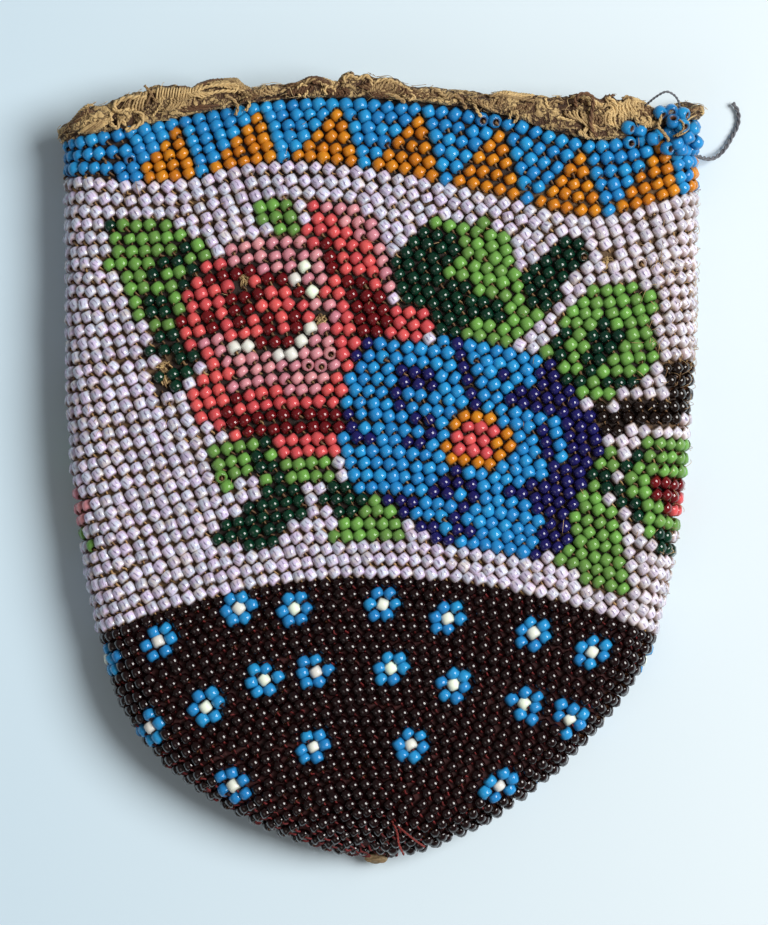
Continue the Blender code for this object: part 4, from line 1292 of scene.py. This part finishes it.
class PURSE_OT_side_fibres(Operator):
    """Make the frayed silk fibres that stand out of the knitting, mostly at the right side"""

    bl_idname = "purse.side_fibres"
    bl_label = "Side fibres"

    def execute(self, context):
        rng = np.random.default_rng(41)
        material = silk_material("frayed_silk", (0.62, 0.42, 0.20), (0.22, 0.11, 0.05))
        steps = np.linspace(0, 1, 7)
        parts = (
            (150, 0.44, 0.505, GARNET_REACH + 32, BAND_REACH - 4),
            (70, 0.45, 0.505, GARNET_REACH, BAND_REACH),
            (70, 0.02, 0.5, GARNET_REACH + 2, PURSE_LENGTH),
            (60, 0.5, 1.0, GARNET_REACH + 2, PURSE_LENGTH))
        places = [np.stack([rng.uniform(low, high, count), rng.uniform(near, far, count)], axis=1)
                  for count, low, high, near, far in parts]
        turn, reach = np.concatenate(places).T[..., None]
        count = len(turn)
        along = rng.normal(size=(count, 1)) * 0.0045
        rise = rng.normal(size=(count, 1)) * 0.8
        curl = rng.normal(size=(count, 1)) * 0.7
        lift = rng.uniform(0.0, 0.5, (count, 1))
        fibres = around(reach + rise * steps + curl * steps**2, turn + along * steps,
                        1.3 - (1.3 + lift) * np.sin(steps * rng.uniform(1.4, 2.8, (count, 1))))
        points, faces = tubes(fibres, 0.04, 3)
        shade = np.repeat(rng.uniform(0.2, 1, count), len(points) // count)
        add_piece("side_fibres", points, faces, material, (), {"shade": shade})
        spots = np.array(LOST_SPOTS, float)
        steps = np.linspace(0, 2 * math.pi, 14)
        count = len(spots) * TANGLE_STRANDS
        x, height = (np.repeat(axis, TANGLE_STRANDS)[:, None] for axis in at_pixel(*spots.T))
        wide, tall = rng.uniform(0.25, 0.8, (2, count, 1))
        lean = rng.uniform(0, 2 * math.pi, (count, 1))
        start = rng.uniform(0, 2 * math.pi, (count, 1))
        loop_x, loop_y = wide * np.cos(steps + start), tall * np.sin(2 * steps + lean)
        offset = rng.normal(size=(2, count, 1)) * 0.4
        x = x + offset[0] + loop_x * np.cos(lean) - loop_y * np.sin(lean)
        height = height + offset[1] + loop_x * np.sin(lean) + loop_y * np.cos(lean)
        level = front_level(x) - 1.0 + 0.5 * np.sin(steps * 1.5 + start)
        plies = twisted(np.stack([x, height, level], axis=-1), 0.06, 0.6)
        points, faces = tubes(plies, 0.085, 4)
        tangle = silk_material("tangled_silk", (0.62, 0.44, 0.20), (0.16, 0.085, 0.035))
        shade = np.repeat(np.tile(rng.uniform(0.1, 1, count), 2), len(points) // len(plies))
        add_piece("worn_tangles", points, faces, tangle, (), {"shade": shade})
        return {"FINISHED"}


class PURSE_OT_lining(Operator):
    """Make the cloth lining and its nub in the worn hole at the tip"""

    bl_idname = "purse.lining"
    bl_label = "Lining"

    def execute(self, context):
        cloth = silk_material("lining_cloth", (0.42, 0.29, 0.15), (0.20, 0.12, 0.055), fineness=2200.0)
        turns = np.arange(LINING_TURNS) / LINING_TURNS
        reaches = np.linspace(TIP_HOLE_REACH + 3.0, PURSE_LENGTH + 0.6, LINING_RINGS)
        rings = []
        for wall, run in ((WALL + 0.35, reaches), (WALL + 0.75, reaches[::-1])):
            for reach in run:
                crumple = 0.25 * cloud(turns * 46, np.full(LINING_TURNS, reach / 3.1), 8)
                broad = cloud(turns * 17, np.full(LINING_TURNS, reach / 16.0), 9)
                crumple += 0.45 * np.abs(broad) - 0.1
                rings.append(around(reach, turns, wall + np.clip(crumple, 0, 0.6), 0.0))
        points = np.array(rings).reshape(-1, 3)
        faces = ring_faces(len(rings), len(turns), closed_rings=True)
        add_piece("lining", points, [faces], cloth, ("lining_bag",), {"shade": 0.5})
        low, high = (np.array(corner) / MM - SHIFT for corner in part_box("lining_nub"))
        around_turns = np.arange(NUB_SIDES) / NUB_SIDES * 2 * math.pi
        middle, half = (low + high) / 2, (high - low) / 2
        rings = []
        for share in np.linspace(0, 1, NUB_RINGS):
            angle = math.pi * (0.02 + 0.96 * share)
            crease = 1 + 0.16 * np.sin(around_turns * 5 + share * 9)
            crease = crease + 0.1 * np.sin(around_turns * 9 - share * 5)
            swell = math.sin(angle) ** 0.6 * crease
            rings.append(np.stack([
                np.full(NUB_SIDES, middle[0] - math.cos(angle) * half[0]),
                middle[1] + half[1] * swell * np.cos(around_turns),
                middle[2] + half[2] * swell * np.sin(around_turns)], axis=1))
        points, faces = skin_rings(np.array(rings))
        nub = silk_material("nub_cloth", (0.46, 0.34, 0.19), (0.16, 0.10, 0.045))
        add_piece("nub", points, faces, nub, ("lining_nub",), {"shade": 0.5})
        return {"FINISHED"}


def edging_age(turn):
    """How much browner the edging is: least at the left of the front."""
    return 0.14 * smooth_step((turn - 0.12) / 0.1)


def edging_stitches(patches, strands, turn_low, turn_high, rng):
    """Patches of knitted strands on the roll. The strands of a patch run side by side across it
    on one slant, bulge in their middles and share a shade. Returns their paths and shades."""
    steps = np.linspace(-1, 1, STITCH_STEPS)
    turn = rng.uniform(turn_low, turn_high, (patches, 1, 1))
    angle = rng.uniform(0.75, 2.9, (patches, 1, 1))
    slant = rng.normal(size=(patches, 1, 1)) * 0.0042
    length = rng.uniform(0.3, 0.7, (patches, 1, 1))
    gap = rng.uniform(0.0019, 0.0028, (patches, 1, 1))
    side = (np.arange(strands) - strands / 2)[None, :, None]
    bend = rng.normal(size=(patches, 1, 1)) * 0.003 + rng.normal(size=(patches, strands, 1)) * 0.0006
    reach = length * (1 - 0.12 * np.abs(side)) + rng.normal(size=(patches, strands, 1)) * 0.06
    bulge = rng.uniform(0.05, 0.5, (patches, 1, 1)) * (1 - 0.1 * np.abs(side))
    arch = 1 - steps**2
    turns = turn + side * gap + slant * steps + bend * arch
    angles = angle + reach * steps + side * rng.normal(size=(patches, 1, 1)) * 0.05
    points = edging_point(turns, angles, 0.0)
    raised = edging_point(turns, angles, 0.5)
    points = points + (raised - points) * 2 * (bulge * np.sqrt(arch))[..., None]
    shades = rng.uniform(-0.15, 1.0, (patches, 1)) + rng.normal(size=(patches, strands)) * 0.12
    shades -= edging_age(turn[:, :, 0])
    return points.reshape(-1, STITCH_STEPS, 3), shades.ravel()


class PURSE_OT_edging(Operator):
    """Make the worn silk edging round the mouth, with its loops and loose fibres"""

    bl_idname = "purse.edging"
    bl_label = "Edging"

    def execute(self, context):
        rng = np.random.default_rng(5)
        silk = silk_material("edging_silk", (0.64, 0.45, 0.20), (0.075, 0.034, 0.015), relief=1.0, pit_depth_and_shade=0.9)
        turns = np.arange(EDGING_TURNS) / EDGING_TURNS
        angles = np.arange(EDGING_SIDES) / EDGING_SIDES * 2 * math.pi
        turn, angle = np.meshgrid(turns, angles, indexing="ij")
        folds = 1 - np.abs(cloud(turn * 46 + 0.6 * cloud(turn * 20, angle, 6), angle * 0.6, 1)) * 2.2
        folds = np.clip(folds, 0, 1) ** 3
        lumps = 0.40 * cloud(turn * 110, angle * 1.2, 4) + 0.24 * cloud(turn * 330, angle * 3.1, 2)
        ridges = np.abs(np.sin(turn * 2 * math.pi * 84 + angle * 1.6 + 2.2 * cloud(turn * 50, angle, 3)))
        proud = lumps + 0.22 * ridges - 0.75 * folds - 0.15
        points = edging_point(turn, angle, proud)
        # Painted shade and light: the roll is darker in its folds and lighter where lumps and ridges stand
        # out, besides the silk's own patches.
        shade = 0.40 + 0.9 * lumps + 0.3 * (ridges - 0.6) - 1.1 * folds - edging_age(turn)
        faces = ring_faces(len(turns), len(angles), closed_rings=True)
        add_piece("edging_roll", points.reshape(-1, 3), [faces], silk, ("mouth_edging",),
                  {"shade": shade.ravel()})
        front, back = (edging_stitches(*size, rng) for size in ((52, 7, 0.0, 0.5), (34, 6, 0.5, 1.0)))
        yarns = np.concatenate([front[0], back[0]])
        plies = twisted(yarns, 0.12, 0.8)
        points, faces = tubes(plies, 0.15, 4)
        shade = np.repeat(np.tile(np.concatenate([front[1], back[1]]), 2), len(points) // len(plies))
        yarn = silk_material("edging_yarn", (0.70, 0.50, 0.23), (0.12, 0.055, 0.022))
        add_piece("edging_stitches", points, faces, yarn, (), {"shade": shade})
        parts, shades = [], []
        for light, radius, route in EDGE_LOOPS:
            part = plied_thread(even_path(on_front(route, 0.35), LOOP_STEPS), radius, 5)
            parts.append(part)
            shades.append(np.full(len(part[0]), light))
        for strand in range(WOVEN_STRANDS):
            px = WOVEN_START + strand * WOVEN_PITCH
            route = ((px + 0.6, 88.5, 0.0), (px, 92, 0.45), (px - 0.8, 97, 0.4), (px - 1.4, 101, -0.1))
            part = tubes(even_path(on_front(route, 0.0), 10)[None], 0.15, 5)
            parts.append(part)
            shades.append(np.full(len(part[0]), 0.85 - 0.3 * (strand % 2)))
        points, faces = merge(parts)
        add_piece("edging_loops", points, faces, yarn, (), {"shade": np.concatenate(shades)})
        count = EDGING_FIBRES
        steps = np.linspace(0, 1, 7)
        on_front_side = rng.random((count, 1)) < 0.7
        turn = np.where(on_front_side, rng.uniform(0, 0.5, (count, 1)), rng.uniform(0.5, 1, (count, 1)))
        angle = rng.uniform(0.2, 3.4, (count, 1))
        run = rng.normal(size=(count, 1)) * 0.006
        curl = rng.normal(size=(count, 1)) * 0.6
        rise = rng.uniform(0.15, 0.9, (count, 1))
        fibres = edging_point(turn + run * steps, angle + curl * steps**2, 0.2 + rise * steps)
        points, faces = tubes(fibres, 0.045, 3)
        shade = np.repeat(rng.uniform(0.2, 1, count), len(points) // count)
        add_piece("edging_fibres", points, faces, yarn, (), {"shade": shade})
        return {"FINISHED"}


class PURSE_OT_loose_threads(Operator):
    """Make the thread ends and the beads that have slipped out at the corner"""

    bl_idname = "purse.loose_threads"
    bl_label = "Loose threads"

    def execute(self, context):
        silks = {key: silk_material(f"{key}_silk", *pair) for key, pair in SILKS.items()}
        for name, solid, silk, radius, route in LOOSE_THREADS:
            if name == FLOOR_THREAD:
                path = even_path(seen_at(route), FLOOR_THREAD_STEPS)
            else:
                path = even_path(on_front(route), THREAD_STEPS)
            points, faces = plied_thread(path, radius, 7, pitch=7, thickness=0.6)
            add_piece(name, points, faces, silks[silk], (solid,), {"shade": 0.5})
        rng = np.random.default_rng(31)
        places = on_front(CORNER_BEADS)
        count = len(places)
        hole = unit(rng.normal(size=(count, 3)) * (0.5, 0.5, 0.35) + (0.5, -0.5, 0.15))
        out = np.tile([0.0, 0.0, 1.0], (count, 1))
        beads = {
            "places": places, "hole": hole, "out": out, "diameter": np.full(count, 2.0),
            "length": np.full(count, 1.7), "square": np.full(count, 0.2), "shade": rng.random(count),
        }
        make_beads("slipped_beads", np.ones(count, bool), beads, glass_of(context.scene, SKY),
                   SLIPPED_SIDES, True, ("corner_bead_strand",))
        tan = bpy.data.materials["edging_yarn"]
        parts = [plied_thread(even_path(on_front(route), CORNER_LOOP_STEPS), radius, 6)
                 for radius, route in CORNER_LOOPS]
        points, faces = merge(parts)
        add_piece("corner_loops", points, faces, tan, (), {"shade": 0.6})
        return {"FINISHED"}


def pale_floor():
    """A pale floor, a little lighter to the right: painted light, as from the lamp on that side."""
    material, nodes, shader = principled("studio_floor")
    coordinates = nodes.add("ShaderNodeTexCoord").outputs["Object"]
    across = nodes.add("ShaderNodeSeparateXYZ", Vector=coordinates).outputs["X"]
    share = nodes.math("ADD", nodes.math("MULTIPLY", across, 9.0), 0.5, clamp=True)
    nodes.feed(shader, "Base Color", nodes.mix(share, (0.655, 0.825, 0.945, 1), (0.77, 0.88, 0.945, 1)))
    shader.inputs["Roughness"].default_value = 0.6
    return material


def add_light(name, place_at, target, size, power, colour):
    """A round area light that faces its target."""
    light = bpy.data.lights.new(name, "AREA")
    light.shape = "DISK"
    light.size = size
    light.energy = power
    light.color = colour
    lamp = bpy.data.objects.new(name, light)
    bpy.context.scene.collection.objects.link(lamp)
    lamp.location = place_at
    direction = np.array(target) - np.array(place_at)
    flat = math.hypot(direction[0], direction[1])
    heading = math.atan2(direction[1], direction[0]) - math.pi / 2
    lamp.rotation_euler = (math.atan2(flat, -direction[2]), 0, heading)


class PURSE_OT_stage(Operator):
    """Make the floor, the lights and the camera"""

    bl_idname = "purse.stage"
    bl_label = "Stage"

    def execute(self, context):
        scene = context.scene
        mesh = bpy.data.meshes.new("floor")
        corners = [(x * FLOOR_REACH, y * FLOOR_REACH, 0) for x, y in ((-1, -1), (1, -1), (1, 1), (-1, 1))]
        mesh.from_pydata(corners, [], [(0, 1, 2, 3)])
        mesh.materials.append(pale_floor())
        floor = bpy.data.objects.new("floor", mesh)
        scene.collection.objects.link(floor)
        add_light("key", (0.57, 0.13, 0.70), (0, 0, 0), 0.55, 9.7, (1.0, 0.985, 0.96))
        add_light("fill", (-0.5, -0.5, 0.9), (0, 0, 0), 0.7, 0.9, (1.0, 0.96, 0.92))
        world = bpy.data.worlds.new("studio")
        scene.world = world
        world.use_nodes = True
        sky = world.node_tree.nodes["Background"]
        sky.inputs["Color"].default_value = (1.0, 0.95, 0.90, 1)
        sky.inputs["Strength"].default_value = 0.15
        camera = bpy.data.cameras.new("camera")
        camera.sensor_fit = "VERTICAL"
        camera.sensor_height = CAMERA_SENSOR
        camera.lens = CAMERA_LENS
        eye = bpy.data.objects.new("camera", camera)
        scene.collection.objects.link(eye)
        middle = at_pixel(PHOTO_SIZE[0] / 2, PHOTO_SIZE[1] / 2)
        eye.location = place(np.array([[*middle, 2 * SIDE_RADIUS + CAMERA_DISTANCE]]))[0]
        scene.camera = eye
        scene.view_settings.view_transform = "Standard"
        return {"FINISHED"}


OPERATORS = (
    PURSE_OT_knitting, PURSE_OT_beads, PURSE_OT_bead_threads, PURSE_OT_side_fibres, PURSE_OT_lining,
    PURSE_OT_edging, PURSE_OT_loose_threads, PURSE_OT_stage,
)


class PURSE_PT_panel(Panel):
    """The sizes, the colours and a button for each step"""

    bl_label = "Purse"
    bl_idname = "PURSE_PT_panel"
    bl_space_type = "VIEW_3D"
    bl_region_type = "UI"
    bl_category = "Purse"

    def draw(self, context):
        for group in (context.scene.purse_sizes, context.scene.purse_colours):
            for name in group.__annotations__:
                self.layout.prop(group, name)
        for operator in OPERATORS:
            self.layout.operator(operator.bl_idname)


CLASSES = (PurseSizes, PurseColours, *OPERATORS, PURSE_PT_panel)


def register():
    """Registers the operators, the panel and the properties."""
    for item in CLASSES:
        bpy.utils.register_class(item)
    bpy.types.Scene.purse_sizes = PointerProperty(type=PurseSizes)
    bpy.types.Scene.purse_colours = PointerProperty(type=PurseColours)


def unregister():
    """Takes the operators, the panel and the properties out again."""
    del bpy.types.Scene.purse_sizes
    del bpy.types.Scene.purse_colours
    for item in reversed(CLASSES):
        bpy.utils.unregister_class(item)


def main():
    register()
    bpy.ops.purse.knitting()
    bpy.ops.purse.beads()
    bpy.ops.purse.bead_threads()
    bpy.ops.purse.side_fibres()
    bpy.ops.purse.lining()
    bpy.ops.purse.edging()
    bpy.ops.purse.loose_threads()
    bpy.ops.purse.stage()


if __name__ == "__main__":
    main()
